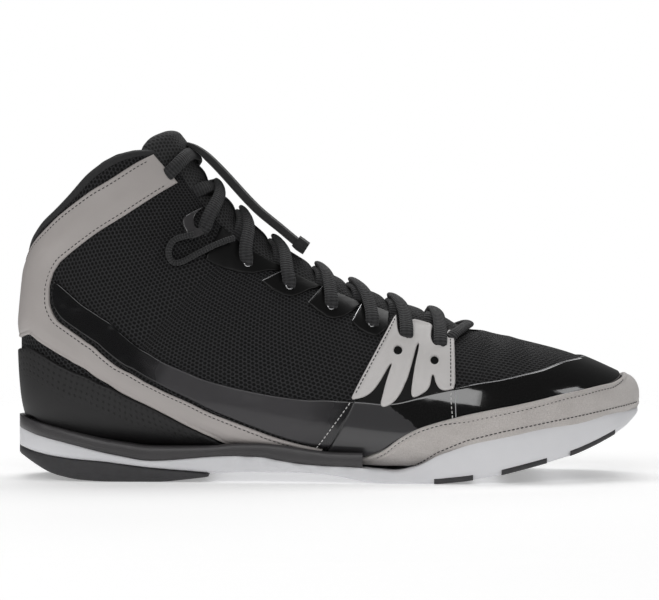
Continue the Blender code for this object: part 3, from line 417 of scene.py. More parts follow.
def open_edges(faces):
    """Directed edges that only one face uses: those whose reverse isn't in the list."""
    edges = np.concatenate([faces[:, [0, 1]], faces[:, [1, 2]], faces[:, [2, 0]]])
    count = int(faces.max()) + 1
    ahead = edges[:, 0] * count + edges[:, 1]
    behind = edges[:, 1] * count + edges[:, 0]
    return edges[~np.isin(ahead, behind)]


def edge_distance(net, reach=0.004):
    """Distance of each point from the net's open edges, as the shortest way to any of their segments."""
    edges = open_edges(net["faces"])
    a = net["flat"][edges[:, 0]]
    b = net["flat"][edges[:, 1]]
    along = b - a
    length = np.maximum(np.sum(along ** 2, -1), 1e-14)
    found = np.full(len(net["flat"]), reach)
    for start in range(0, len(found), 2000):
        point = net["flat"][start:start + 2000]
        way = np.clip(np.einsum("ijk,jk->ij", point[:, None] - a[None], along) / length, 0, 1)
        gap = point[:, None] - a[None] - way[..., None] * along[None]
        found[start:start + 2000] = np.minimum(np.sqrt(np.min(np.sum(gap ** 2, -1), axis=1)), reach)
    return found


def two_faced(name, net, low, high, finish, **words):
    """Closed sheet over a net, between two distances from the form, with walls at its open edges."""
    near = last_offset(net["s"], net["side"], net["angle"], low)
    far = last_offset(net["s"], net["side"], net["angle"], high)
    count = len(near)
    faces = net["faces"]
    edges = open_edges(faces)
    walls = np.concatenate([np.stack([edges[:, 1], edges[:, 0], edges[:, 0] + count], -1),
                            np.stack([edges[:, 1], edges[:, 0] + count, edges[:, 1] + count], -1)])
    all_faces = np.concatenate([faces, faces[:, ::-1] + count, walls])
    points = np.concatenate([far, near])
    return put(name, points, all_faces, finish, uv=np.concatenate([net["uv"], net["uv"]]), **words)


def grid(rows, low, high, shares, side):
    """Grid of one side: stations in rows, and angles at shares of the way from low to high."""
    s = np.repeat(rows[:, None], len(shares), axis=1)
    return s, np.full(s.shape, side), low[:, None] + (high - low)[:, None] * shares


def both_sides(rows, low, high, count, bend=None):
    """Net of both sides between two lines, each a function of station and side; bend moves the stations."""
    grids = []
    for side, _ in SIDES:
        s, sides, angle = grid(rows, low(rows, side), high(rows, side), np.linspace(0, 1, count), side)
        grids.append((bend(s, angle) if bend else s, sides, angle))
    return weave(grids)


def base_line(s, side):
    """Angle of the centre line underneath, the same at every station."""
    return np.full(s.shape, -QUARTER_TURN)


# Columns: station and share up the section of the collar's edge, from the heel to the throat
COLLAR = ((0.969, 0.00), (0.983, 0.02), (0.989, 0.10), (0.989, 0.226), (0.991, 0.343), (0.995, 0.466),
          (0.994, 0.587), (0.990, 0.698), (0.983, 0.794), (0.973, 0.871), (0.966, 0.903), (0.962, 0.96))
COLLAR_ANGLES = [float(angle_at(s, np.float64(share))) for s, share in COLLAR]
SHAFT_START = 0.86
THROAT_START = 0.415
THROAT_WIDTH = 0.040
# Columns: station, share of the throat's full width
THROAT = ((0.415, 0.0), (0.420, 0.16), (0.432, 0.27), (0.455, 0.35), (0.50, 0.40), (0.56, 0.42), (0.64, 0.43),
          (0.72, 0.44), (0.80, 0.46), (0.88, 0.48), (0.94, 0.50), (1.00, 0.52))
# Columns: station, share of the section's half width that is open under the foot
UNDERFOOT = ((0.05, 0.0), (0.058, 0.26), (0.075, 0.44), (0.11, 0.56), (0.16, 0.62), (0.25, 0.66),
             (0.50, 0.66), (0.70, 0.64), (0.76, 0.58), (0.79, 0.46), (0.805, 0.28), (0.812, 0.0))


def throat_half(s):
    """Half width of the throat at a station, straight between the table's rows."""
    return np.interp(s, [row[0] for row in THROAT], [row[1] for row in THROAT]) * THROAT_WIDTH


def throat_angle(s, side, extra=0.0):
    """Angle of the throat's edge, or of a line beside it; the ridge where the throat is closed."""
    width = throat_half(s)
    angle = angle_of_width(s, side, width + np.where(width > 0, extra, 0), True)
    return np.where(s <= THROAT_START, QUARTER_TURN, angle)


def underfoot_angle(s, side):
    """Angle of the bootie's lower edge; the centre line where the bootie is closed."""
    share = np.interp(s, [row[0] for row in UNDERFOOT], [row[1] for row in UNDERFOOT])
    angle = angle_of_width(s, side, share * half_width(s, side), False)
    return np.where(share <= 0, -QUARTER_TURN, angle)


def to_collar(s, angle):
    """Stretches the shaft's stations in proportion, so that the last one is the collar edge."""
    edge = np.interp(angle, COLLAR_ANGLES, [row[0] for row in COLLAR])
    share = (s - SHAFT_START) / (1 - SHAFT_START)
    return np.where(s > SHAFT_START, SHAFT_START + share * (edge - SHAFT_START), s)


def shader_of(finish):
    """The one surface shader of a material."""
    return finish.node_tree.nodes["Principled BSDF"]


def join(finish, output, socket):
    """Links a node's output to one of the shader's sockets."""
    finish.node_tree.links.new(output, shader_of(finish).inputs[socket])


def math_node(finish, operation, a, b=0.0):
    """Adds a sum of two values, numbers or sockets, and gives its result."""
    return node(finish, "Math", {"operation": operation}, n0=a, n1=b).outputs[0]


def cloth(name, color, roughness, sheen=0.0, coat=0.0, specular=0.5):
    """Material with its colour, roughness, sheen, coat and reflection set, ready for patterns."""
    made = bpy.data.materials.new(name)
    made.use_nodes = True
    inputs = shader_of(made).inputs
    inputs["Base Color"].default_value = (*color, 1)
    inputs["Roughness"].default_value = roughness
    inputs["Sheen Weight"].default_value = sheen
    inputs["Coat Weight"].default_value = coat
    inputs["Specular IOR Level"].default_value = specular
    return made


def dye(finish, factor, low, high):
    """Colours the shader between two colours by a factor."""
    mixed = node(finish, "Mix", {"data_type": "RGBA"}, n0=factor, n6=(*low, 1), n7=(*high, 1))
    join(finish, mixed.outputs[2], "Base Color")


def gloss(finish, factor, low, high):
    """Sets the roughness between two values by a factor."""
    join(finish, ramp(finish, factor, 0.0, 1.0, low, high), "Roughness")


def raise_by(finish, height, depth):
    """Bump of a depth in metres, laid over any bump that the shader has."""
    over = node(finish, "Bump", Height=height, Distance=depth)
    before = shader_of(finish).inputs["Normal"]
    if before.is_linked:
        finish.node_tree.links.new(before.links[0].from_socket, over.inputs["Normal"])
    join(finish, over.outputs[0], "Normal")


def speckle(finish, scale, detail=2.0, stretch=(1, 1, 1)):
    """Noise over the piece, from 0 to 1, at a scale in features a metre."""
    place = node(finish, "TexCoord").outputs["Object"]
    place = node(finish, "VectorMath", {"operation": "MULTIPLY"}, n0=place, n1=stretch).outputs[0]
    return node(finish, "TexNoise", Vector=place, Scale=scale, Detail=detail).outputs[0]


def mottle(finish, scale, detail, low, high):
    """Colours the shader between two colours by noise."""
    dye(finish, speckle(finish, scale, detail), low, high)


def shine(finish, scale, detail, low, high):
    """Sets the roughness between two values by noise."""
    gloss(finish, speckle(finish, scale, detail), low, high)


def grain(finish, scale, detail, depth):
    """Bump of a depth in metres by noise."""
    raise_by(finish, speckle(finish, scale, detail), depth)


def sink(finish, hollows, depth):
    """Bump of a depth in metres, downwards where a pattern is 1."""
    raise_by(finish, math_node(finish, "SUBTRACT", 1.0, hollows), depth)


def parts_of_way(finish):
    """Metres along and metres down of the piece's own coordinates."""
    return node(finish, "SeparateXYZ", n0=node(finish, "UVMap", {"uv_map": "way"}).outputs[0]).outputs


def holes(finish, pitch_along, pitch_down, size):
    """Staggered rows of oval holes over the piece's own coordinates: 1 in a hole and 0 on the yarn."""
    parts = parts_of_way(finish)
    down = math_node(finish, "DIVIDE", parts[1], pitch_down)
    row = math_node(finish, "FLOOR", down)
    shift = math_node(finish, "MULTIPLY", math_node(finish, "FLOORED_MODULO", row, 2.0), 0.5)
    along = math_node(finish, "ADD", math_node(finish, "DIVIDE", parts[0], pitch_along), shift)
    squares = []
    for line in (along, down):
        off = math_node(finish, "SUBTRACT", math_node(finish, "FRACT", line), 0.5)
        squares.append(math_node(finish, "POWER", math_node(finish, "ABSOLUTE", off), 2.0))
    away = math_node(finish, "SQRT", math_node(finish, "ADD", *squares))
    return ramp(finish, away, size * 0.6, size * 1.25, kind="SMOOTHSTEP")


knit = cloth("knit_mesh", (0.02, 0.02, 0.021), 0.75, specular=0.25)
knit_holes = holes(knit, 0.0023, 0.0017, 0.40)
# Painted shade: the holes are coloured near-black for the shaded inside of the shoe that shows through them;
# the yarn keeps its own dark grey.
dye(knit, knit_holes, (0.030, 0.030, 0.0315), (0.0008, 0.0008, 0.0010))
sink(knit, knit_holes, 0.0007)
grain(knit, 2600, 1.0, 0.00008)

rows = np.concatenate([np.linspace(0, 0.06, 24)[:-1], np.linspace(0.06, 0.40, 68)[:-1],
                       np.linspace(0.40, 0.46, 20)[:-1], np.linspace(0.46, SHAFT_START, 90)[:-1],
                       np.linspace(SHAFT_START, 1, 34)])
bootie = both_sides(rows, underfoot_angle, throat_angle, 64, to_collar)
# The rows of holes run level with the throat's centre line, not with its edge
bootie["uv"][:, 1] += throat_half(bootie["s"])
KNIT_RIM = 0.0012
thin = (KNIT_RIM - edge_distance(bootie, KNIT_RIM)) * 0.5
two_faced("upper_knit", bootie, -WALL + thin, -thin, knit, stands_for=("upper",), slot="mesh")


# Sole
# A thin shell of white rubber, moulded in one with its side wall: higher round the forefoot, ribbed at the
# arch and cut back under the heel, where dark rubber is set in. The bootie sits inside it.
# Columns: place along the length, toe spring, underside, top of the heel rubber, top of the white wall,
# top of the rand, each height a share of the bed height above the spring
SIDE = (
    (0.001, 0.000, 0.857, 1.086, 1.679, 2.093),
    (0.008, 0.000, 0.780, 1.036, 1.657, 2.057),
    (0.024, 0.000, 0.593, 0.943, 1.521, 1.950),
    (0.058, 0.000, 0.229, 0.807, 1.357, 1.786),
    (0.097, 0.000, 0.057, 0.714, 1.179, 1.593),
    (0.141, 0.000, 0.000, 0.657, 0.957, 1.386),
    (0.208, 0.000, 0.000, 0.479, 0.686, 1.164),
    (0.240, 0.000, 0.000, 0.420, 0.700, 1.150),
    (0.309, 0.000, 0.164, 0.300, 0.821, 1.171),
    (0.325, 0.000, 0.270, 0.270, 0.840, 1.200),
    (0.351, 0.000, 0.329, 0.329, 0.857, 1.257),
    (0.396, 0.000, 0.329, 0.329, 0.821, 1.271),
    (0.429, 0.000, 0.329, 0.329, 0.679, 1.200),
    (0.462, 0.000, 0.314, 0.314, 0.593, 1.093),
    (0.503, 0.000, 0.250, 0.250, 0.543, 0.993),
    (0.538, 0.000, 0.107, 0.107, 0.529, 0.986),
    (0.572, 0.000, 0.000, 0.000, 0.450, 0.980),
    (0.608, 0.000, 0.000, 0.000, 0.379, 0.980),
    (0.646, 0.000, 0.000, 0.000, 0.607, 1.000),
    (0.665, 0.000, 0.000, 0.000, 0.880, 1.100),
    (0.715, 0.050, 0.007, 0.007, 1.157, 1.300),
    (0.769, 0.150, 0.000, 0.000, 1.229, 1.350),
    (0.837, 0.330, 0.000, 0.000, 1.157, 1.300),
    (0.888, 0.475, 0.000, 0.000, 1.050, 1.200),
    (0.920, 0.610, 0.000, 0.000, 0.914, 1.050),
    (0.960, 0.810, 0.000, 0.000, 0.657, 0.800),
    (0.983, 0.965, 0.000, 0.000, 0.414, 0.550),
    (1.000, 1.000, 0.320, 0.320, 0.379, 0.450),
)
UNDERSIDE, POD_TOP, WALL_TOP, RAND_TOP = 2, 3, 4, 5
# Columns: station, place along the length, outer edge, inner edge, heel blend
PLAN = (
    (0.000, 0.001, 0.000, 0.000, 1.00),
    (0.015, 0.005, 0.129, 0.129, 1.00),
    (0.035, 0.015, 0.235, 0.235, 1.00),
    (0.060, 0.032, 0.338, 0.338, 1.00),
    (0.100, 0.064, 0.439, 0.439, 1.00),
    (0.150, 0.108, 0.505, 0.503, 1.00),
    (0.210, 0.163, 0.535, 0.530, 1.00),
    (0.280, 0.229, 0.544, 0.535, 1.00),
    (0.360, 0.312, 0.518, 0.484, 0.79),
    (0.450, 0.410, 0.512, 0.434, 0.56),
    (0.520, 0.486, 0.517, 0.409, 0.37),
    (0.590, 0.562, 0.521, 0.408, 0.18),
    (0.655, 0.635, 0.518, 0.439, 0.00),
    (0.715, 0.705, 0.533, 0.494, 0.00),
    (0.770, 0.767, 0.524, 0.520, 0.00),
    (0.820, 0.826, 0.482, 0.507, 0.00),
    (0.870, 0.882, 0.403, 0.473, 0.00),
    (0.910, 0.927, 0.309, 0.430, 0.00),
    (0.940, 0.957, 0.218, 0.381, 0.00),
    (0.965, 0.980, 0.113, 0.311, 0.00),
    (0.985, 0.994, 0.020, 0.222, 0.00),
    (1.000, 0.999, -0.100, 0.100, 0.00),
)
PLAN_X, PLAN_OUTER, PLAN_INNER, PLAN_BLEND = [column(PLAN, i) for i in range(1, 5)]
EDGE_ROUND = 0.0028
POD_FRONT = 0.309
RAND_FRONT = 0.552
# Columns: place along the length where each tread bar starts and ends
BARS = ((0.664, 0.725), (0.770, 0.842), (0.880, 0.955))
BAR_DEPTH = 0.0026
BAR_PROUD = 1.006
SOLE_FIT = 0.0004
SOLE_LAP = 0.0002
# Shape of a sole's edge seen in section: share of the rounding inwards, share of the height
EDGE_SHAPE = ((1.00, 0.00), (0.62, 0.015), (0.34, 0.06), (0.14, 0.15), (0.03, 0.28), (0.00, 0.42),
              (0.02, 0.60), (0.10, 0.80), (0.22, 0.92), (0.45, 1.00))


def side_height(place, line):
    """Height of one line of the sole's side: the toe spring plus a share of the bed height."""
    places = [row[0] for row in SIDE]
    spring = np.interp(place, places, [row[1] for row in SIDE]) * TOE_SPRING
    return spring + np.interp(place, places, [row[line] for row in SIDE]) * BED_HEIGHT


def smooth_height(place, line, reach=0.012):
    """The side's height averaged over a short reach, so that the table's corners are rounded."""
    shifts = np.linspace(-reach, reach, 7)
    return np.mean([side_height(np.clip(place + shift, 0.001, 1), line) for shift in shifts], axis=0)


def sole_loft(stations, floor, roof, floor_rise=0.0, roof_rise=0.0, bulge=None):
    """Rounded loops across the sole at the plan's stations, between two lines of its side.

    Each loop runs up the outer edge, over the top and down the inner edge, on the table of the edge's shape.
    """
    place = np.clip(PLAN_X(stations), 0.0005, 0.9995)
    local = BALL_WIDTH + (HEEL_WIDTH - BALL_WIDTH) * PLAN_BLEND(stations)
    outer = -PLAN_OUTER(stations) * local
    inner = PLAN_INNER(stations) * local
    half = np.maximum((inner - outer) / 2, 0.0001)
    low = smooth_height(place, floor) + floor_rise
    tall = np.maximum(smooth_height(place, roof) + roof_rise - low, 0.0004)
    bend = np.minimum(EDGE_ROUND, 0.45 * half)
    shape = np.array(EDGE_SHAPE)
    inward = bend[:, None] * shape[:, 0]
    if bulge is not None:
        inward = inward - bulge(place)[:, None] * np.sin(np.pi * shape[:, 1]) ** 0.5
    up = low[:, None] + tall[:, None] * shape[:, 1]
    fill = np.linspace(0, 1, 8)[1:-1]
    y = np.concatenate([outer[:, None] + inward,
                        (outer + bend * 0.45)[:, None] + (inner - outer - bend * 0.9)[:, None] * fill,
                        (inner[:, None] - inward)[:, ::-1],
                        (inner - bend)[:, None] + (outer - inner + 2 * bend)[:, None] * fill], axis=1)
    top = np.repeat((low + tall)[:, None], len(fill), axis=1)
    bottom = np.repeat(low[:, None], len(fill), axis=1)
    z = np.concatenate([up, top, up[:, ::-1], bottom], axis=1)
    x = np.repeat((place * LENGTH - HEEL_REST)[:, None], y.shape[1], axis=1)
    return np.stack([x, y, z], -1)


def ring_faces(rings, count, start=0):
    """Triangles between closed rings of points, one after another, with a fan over each end."""
    index = np.arange(rings * count).reshape(rings, count) + start
    ahead = np.roll(index, -1, axis=1)
    quad = np.stack([index[:-1], ahead[:-1], ahead[1:], index[1:]], -1).reshape(-1, 4)
    fan = np.arange(1, count - 1)
    first = np.stack([0 * fan, fan + 1, fan], -1) + start
    last = np.stack([0 * fan, fan, fan + 1], -1) + (rings - 1) * count + start
    return np.concatenate([quad[:, [0, 1, 2]], quad[:, [0, 2, 3]], first, last])


def body(name, loops, finish, tool=None, **words):
    """Solid through closed loops, with a tool taken away from it where one is given."""
    mesh = bpy.data.meshes.new(name)
    mesh.from_pydata(loops.reshape(-1, 3).tolist(), [], ring_faces(*loops.shape[:2]).tolist())
    net = bmesh.new()
    net.from_mesh(mesh)
    bmesh.ops.remove_doubles(net, verts=net.verts, dist=0.00002)
    bmesh.ops.recalc_face_normals(net, faces=net.faces)
    net.to_mesh(mesh)
    net.free()
    made = bpy.data.objects.new(name, mesh)
    scene.collection.objects.link(made)
    if tool is not None:
        boolean = made.modifiers.new("hollow", "BOOLEAN")
        boolean.operation = "DIFFERENCE"
        boolean.solver = "EXACT"
        boolean.object = tool
        mesh = bpy.data.meshes.new_from_object(made.evaluated_get(bpy.context.evaluated_depsgraph_get()))
        made.modifiers.clear()
        made.data = mesh
    mesh.shade_smooth()
    mesh.set_sharp_from_angle(angle=math.radians(38))
    if finish is None:
        return made
    mesh.materials.clear()
    mesh.materials.append(finish)
    return worn(made, **words)


form_rows = rows[rows <= SHAFT_START]
form_turns = np.linspace(-QUARTER_TURN, QUARTER_TURN, 49)
outer_turns = [last_offset(form_rows[:, None], -1, form_turns[None, :-1], SOLE_FIT),
               last_offset(form_rows[:, None], 1, form_turns[None, :0:-1], SOLE_FIT)]
form = body("form_tool", np.concatenate(outer_turns, axis=1)[1:], None)

rubber = cloth("white_rubber", (0.74, 0.74, 0.76), 0.5)
mottle(rubber, 40, 3.0, (0.66, 0.66, 0.68), (0.79, 0.79, 0.81))
grain(rubber, 1800, 2.0, 0.00005)
shine(rubber, 90, 3.0, 0.42, 0.62)

RIB_START = 0.33
RIB_END = 0.60
RIB_PITCH = 0.040
RIB_HEIGHT = 0.0007


def arch_ribs(place):
    """Soft vertical ribs at the arch: a cosine over the length, faded at both ends."""
    within = np.clip((place - RIB_START) / 0.03, 0, 1) * np.clip((RIB_END - place) / 0.03, 0, 1)
    return within * RIB_HEIGHT * np.cos(2 * np.pi * (place - RIB_START) / RIB_PITCH)


sole_stations = np.concatenate([np.linspace(0, 0.06, 16)[:-1], np.linspace(0.06, 0.94, 210)[:-1],
                                np.linspace(0.94, 1, 24)])
body("sole_rubber", sole_loft(sole_stations, POD_TOP, WALL_TOP, bulge=arch_ribs), rubber, form,
     stands_for=("sole",), slot="white_rubber")

# Dark rubber
# Grippy compound in the same mould: a cup under the heel, and three bars across the forefoot whose ends show
# below the white wall.
tread = cloth("dark_rubber", (0.035, 0.034, 0.036), 0.6)
mottle(tread, 300, 3.0, (0.026, 0.025, 0.027), (0.046, 0.045, 0.048))
grain(tread, 2600, 2.0, 0.0001)
pod_rows = np.linspace(0, 1, 90)
pod_stations = np.interp(pod_rows, [0, 0.25, 1], [0, 0.06, np.interp(POD_FRONT, PLAN_X(sole_stations),
                                                                     sole_stations)])
body("heel_cup", sole_loft(pod_stations, UNDERSIDE, POD_TOP, roof_rise=-SOLE_LAP), tread,
     stands_for=("heel_outsole",), slot="dark_rubber")
for number, (start, end) in enumerate(BARS, 1):
    bar_stations = np.interp(np.linspace(start, end, 24), PLAN_X(sole_stations), sole_stations)
    bar = sole_loft(bar_stations, UNDERSIDE, UNDERSIDE, floor_rise=-SOLE_LAP, roof_rise=BAR_DEPTH)
    bar[..., 1] *= BAR_PROUD
    body(f"tread_bar_{number}", bar, tread, stands_for=(f"forefoot_tread_{number}",), slot="dark_rubber")

# Rand
# A strip of charcoal rubber glued round the heel and waist, above the white wall, with a rounded top edge.
rand_finish = cloth("rand_rubber", (0.048, 0.045, 0.047), 0.42)
mottle(rand_finish, 60, 3.0, (0.040, 0.038, 0.040), (0.058, 0.055, 0.057))
grain(rand_finish, 2200, 2.0, 0.00005)
rand_end = np.interp(RAND_FRONT, PLAN_X(sole_stations), sole_stations)
rand_stations = np.concatenate([sole_stations[sole_stations < rand_end - 0.003], [rand_end]])
body("rand_strip", sole_loft(rand_stations, WALL_TOP, RAND_TOP, floor_rise=-SOLE_LAP), rand_finish, form,
     stands_for=("rand",), slot="rand_rubber")
bpy.data.objects.remove(form, do_unlink=True)

# Collar lining
# Foam under black textile, turned in at the top line and stitched down inside the shaft.
lining = cloth("lining_textile", (0.018, 0.018, 0.019), 0.85, sheen=0.05)
lining_holes = holes(lining, 0.0012, 0.0009, 0.34)
# Painted shade: the holes are coloured darker for the shade inside them.
dye(lining, lining_holes, (0.020, 0.020, 0.021), (0.005, 0.005, 0.005))
sink(lining, lining_holes, 0.0002)
CUFF_START = 0.90
CUFF_THICKNESS = 0.005
cuff_rows = np.concatenate([np.linspace(CUFF_START, 0.985, 30)[:-1], np.linspace(0.985, 1, 14)])


def cuff_line(s, side):
    """Angle of the cuff's front edge, beside the throat."""
    return angle_of_width(s, side, throat_half(s) + 0.011, True)


cuff = both_sides(cuff_rows, base_line, cuff_line, 60, to_collar)
CUFF_EDGE = 0.004
puff = np.sqrt(1 - (1 - edge_distance(cuff, CUFF_EDGE) / CUFF_EDGE) ** 2)
cuff_face = -WALL - FIT
cuff_pad = two_faced("collar_lining", cuff, cuff_face - CUFF_THICKNESS * (0.25 + 0.75 * puff),
                     cuff_face + 0 * puff, lining, stands_for=("collar",), slot="lining")

# The padded edge that the textile is rolled round, from one side of the throat round the heel to the other
roll_finish = cloth("collar_roll", (0.014, 0.014, 0.015), 0.7, sheen=0.08)
grain(roll_finish, 2400, 2.0, 0.0001)
mottle(roll_finish, 900, 2.0, (0.009, 0.009, 0.010), (0.022, 0.022, 0.023))
ROLL_RADIUS = 0.0019
ROLL_STATION = 0.97
roll_line = []
for side, _ in SIDES:
    width = float(throat_half(ROLL_STATION)) - 0.001
    high = float(angle_of_width(np.float64(ROLL_STATION), side, width, True))
    angle = np.linspace(-QUARTER_TURN, high, 90)
    s = np.interp(angle, COLLAR_ANGLES, [row[0] for row in COLLAR]) - 0.004
    line = last_offset(s, side, angle, -0.0012)
    roll_line.append(line if side > 0 else line[::-1])
roll_line = np.concatenate([roll_line[0], roll_line[1][1:]])
for _ in range(12):
    roll_line[1:-1] = 0.5 * roll_line[1:-1] + 0.25 * (roll_line[:-2] + roll_line[2:])


def loops_about(route, wide, up, across, rise):
    """Loops of points along a route: steps across and up from each of its points, in its own directions."""
    return route[:, None] + wide[:, None] * across[..., None] + up[:, None] * rise[..., None]


def tube(route, radius, finish, name, around=10, **words):
    """Round tube along a route: circles square to it, with a radius for each point."""
    route = np.asarray(route, float)
    radius = np.broadcast_to(radius, len(route))[:, None]
    run = unit(np.gradient(route, axis=0))
    across = unit(np.cross(run, np.array([0.0, 0.12, 1.0])))
    turn = np.linspace(0, 2 * math.pi, around + 1)[:-1]
    ring = loops_about(route, across, np.cross(across, run), np.cos(turn) * radius, np.sin(turn) * radius)
    return put(name, ring.reshape(-1, 3), ring_faces(*ring.shape[:2])[:, ::-1], finish, **words)


ends = np.minimum(np.arange(len(roll_line)), np.arange(len(roll_line))[::-1])
taper = 0.35 + 0.65 * np.sin(np.clip(ends / 6, 0, 1) * QUARTER_TURN)
roll = tube(roll_line, ROLL_RADIUS * taper, roll_finish, "collar_roll", around=14, slot="lining")

# Insole
# A flat foam board under cloth, lying on the bootie's turned edge.
INSOLE_SHARE = 0.70
INSOLE_FACE = -WALL - 0.0013
INSOLE_THICKNESS = 0.0030


def insole_line(s, side):
    """Angle of the insole's edge, a share of the half width from the centre."""
    return angle_of_width(s, side, INSOLE_SHARE * half_width(s, side), False)


insole = both_sides(np.linspace(0.105, 0.785, 60), base_line, insole_line, 14)
insole_face = np.full(insole["s"].shape, INSOLE_FACE)
two_faced("insole_board", insole, insole_face - INSOLE_THICKNESS, insole_face, lining, stands_for=("insole",),
          slot="lining")

# Tongue
# A padded leaf of black mesh under the throat, sewn in at the toe end and rounded at the top, where it
# stands above the collar.
TONGUE_START = 0.435
TONGUE_TOP = 0.978
TONGUE_DROP = 0.020
TONGUE_CROWN = 0.0045
TONGUE_LAP = 0.0085
TONGUE_SHOULDER = 0.90
TONGUE_SWELL = 0.0026
tongue_knit = cloth("tongue_mesh", (0.02, 0.02, 0.021), 0.8)
tongue_holes = holes(tongue_knit, 0.0019, 0.0015, 0.36)
# Painted shade: the holes are coloured near-black for the shade inside them.
dye(tongue_knit, tongue_holes, (0.036, 0.036, 0.037), (0.004, 0.004, 0.004))
sink(tongue_knit, tongue_holes, 0.0004)
tongue_rows = np.concatenate([np.linspace(TONGUE_START, 0.96, 110)[:-1], np.linspace(0.96, 1, 24)])


def tongue_line(s, side):
    """Angle of the tongue's side edge, that laps under the throat's edge."""
    return angle_of_width(s, side, throat_half(s) + TONGUE_LAP, True)


def ridge_line(s, side):
    """Angle of the ridge, the same at every station."""
    return np.full(s.shape, QUARTER_TURN)


def tongue_top(s, angle):
    """Stretches the stations above the shoulder up to the top edge, which drops towards the sides."""
    away = 1 - (angle - angle[:, :1]) / (QUARTER_TURN - angle[:, :1])
    top = TONGUE_TOP + 0.010 * away ** 1.5 - TONGUE_DROP * away ** 7
    share = (s - TONGUE_SHOULDER) / (1 - TONGUE_SHOULDER)
    return np.where(s > TONGUE_SHOULDER, TONGUE_SHOULDER + share * (top - TONGUE_SHOULDER), s)


leaf = both_sides(tongue_rows, tongue_line, ridge_line, 24, tongue_top)
TONGUE_EDGE = 0.005
puff = np.sqrt(1 - (1 - edge_distance(leaf, TONGUE_EDGE) / TONGUE_EDGE) ** 2)
leaf_width = width_at(leaf["s"], leaf["side"], leaf["angle"])
inside = np.clip((throat_half(leaf["s"]) + TONGUE_LAP - leaf_width) / 0.012, 0, 1)
crown = np.clip((leaf["s"] - 0.915) / 0.045, 0, 1)
crown = crown * crown * (3 - 2 * crown)
# The padding swells between the laces and is pressed flat beneath them
LACE_ROWS = (0.440, 0.504, 0.571, 0.634, 0.693, 0.772, 0.840, 0.896, 0.940)
pressed = np.max([np.exp(-((leaf["s"] - row) / 0.0135) ** 2) for row in LACE_ROWS], axis=0)
near_ridge = np.clip(1 - leaf_width / (throat_half(leaf["s"]) + 0.001), 0, 1)
swell = TONGUE_SWELL * (1 - pressed) * np.sin(near_ridge * QUARTER_TURN) ** 0.8
swell = swell * np.clip((leaf["s"] - 0.46) / 0.03, 0, 1)
leaf_face = -WALL - 0.0009 + 0.0022 * inside + swell * (1 - crown)
leaf_back = leaf_face - 0.0013 - (0.0040 + 0.0012 * crown) * puff
leaf_front = leaf_face - 0.0012 * (1 - puff) + TONGUE_CROWN * crown * inside ** 0.6 * puff
tongue_pad = two_faced("tongue_pad", leaf, leaf_back, leaf_front, tongue_knit, stands_for=("tongue",),
                       slot="lining")


# Heel counter
# Matt black moulded leather cupped round the heel, its lower edge under the rand, with rows of pinholes
# below the band.
# Columns: station and share up the section of the lower edge, then of the upper edge
HEEL_COUNTER = (
    (0.850, 0.000, 0.900, 0.000), (0.849, 0.006, 0.899, 0.010), (0.846, 0.016, 0.898, 0.026),
    (0.843, 0.030, 0.896, 0.050), (0.826, 0.050, 0.886, 0.105),
    (0.806, 0.055, 0.868, 0.175), (0.790, 0.050, 0.848, 0.232), (0.772, 0.045, 0.828, 0.268),
    (0.757, 0.030, 0.806, 0.275), (0.740, 0.020, 0.782, 0.250), (0.728, 0.025, 0.762, 0.218),
    (0.716, 0.030, 0.742, 0.172), (0.704, 0.045, 0.722, 0.125), (0.693, 0.055, 0.702, 0.080))
OVERLAY_BASE = 0.0002
OVERLAY_SINK = 0.0006
EXTRA_REACH = 0.008
ROLLED_EDGE = 0.0009
EDGE_STEPS = np.array([0, 0.00012, 0.0003, 0.00055, 0.0009, 0.0014])


def monotone(values, fine):
    """Cubic through evenly spaced values that never swings past them: slopes are harmonic means."""
    values = np.asarray(values, float)
    step = np.diff(values)
    both = step[:-1] * step[1:]
    slope = np.zeros(len(values))
    total = step[:-1] + step[1:]
    slope[1:-1] = np.where(both > 0, 2 * both / np.where(np.abs(total) > 1e-12, total, 1), 0)
    slope[0] = step[0]
    slope[-1] = step[-1]
    i = np.clip(fine.astype(int), 0, len(values) - 2)
    a = fine - i
    return (values[i] * (1 + 2 * a) * (1 - a) ** 2 + slope[i] * a * (1 - a) ** 2
            + values[i + 1] * a * a * (3 - 2 * a) + slope[i + 1] * a * a * (a - 1))


def edges_at(table, side, at):
    """Stations and angles of both edges of a table's piece, at rows and between, and the width there."""
    values = np.array(table, float)
    low_s, low_share, high_s, high_share = [monotone(values[:, i], at) for i in range(4)]
    low = angle_at(low_s, np.clip(low_share, 0, 1))
    high = angle_at(high_s, np.clip(high_share, 0, 1))
    wide = np.linalg.norm(last_point(high_s, side, high) - last_point(low_s, side, low), axis=-1)
    return low_s, low, high_s, high, np.maximum(wide, 1e-5)


def rungs(table, side, between, across):
    """Grid of one side between the two edges of a table, closer spaced beside each edge and at its ends."""
    last = len(table) - 1
    inner = np.arange(1, last * between) / between
    ends = np.array([0, 0.02, 0.06, 0.12])
    fine = np.unique(np.round(np.concatenate([ends, inner, last - ends]), 6))
    low_s, low, high_s, high, wide = edges_at(table, side, fine)
    near = np.minimum(EDGE_STEPS[None, :] / wide[:, None], 0.45 * EDGE_STEPS / EDGE_STEPS[-1])
    middle = near[:, -1:] + (1 - 2 * near[:, -1:]) * np.linspace(0, 1, across + 1)[None, 1:-1]
    share = np.concatenate([near, middle, 1 - near[:, ::-1]], axis=1)
    s = low_s[:, None] + (high_s - low_s)[:, None] * share
    return s, np.full(s.shape, side), low[:, None] + (high - low)[:, None] * share


def overlay(name, net, thickness, finish, rolled=ROLLED_EDGE, base=OVERLAY_BASE, extra=None, **words):
    """Bonded sheet on the bootie: its outer face rolls down to its own edges on a quarter circle."""
    edge = edge_distance(net, rolled)
    roll = np.sqrt(np.clip(1 - (1 - edge / rolled) ** 2, 0, 1))
    high = base + thickness * (0.25 + 0.75 * roll)
    if extra is not None:
        high = high + extra(edge_distance(net, EXTRA_REACH))
    return two_faced(name, net, np.full(high.shape, base - OVERLAY_SINK), high, finish, **words)


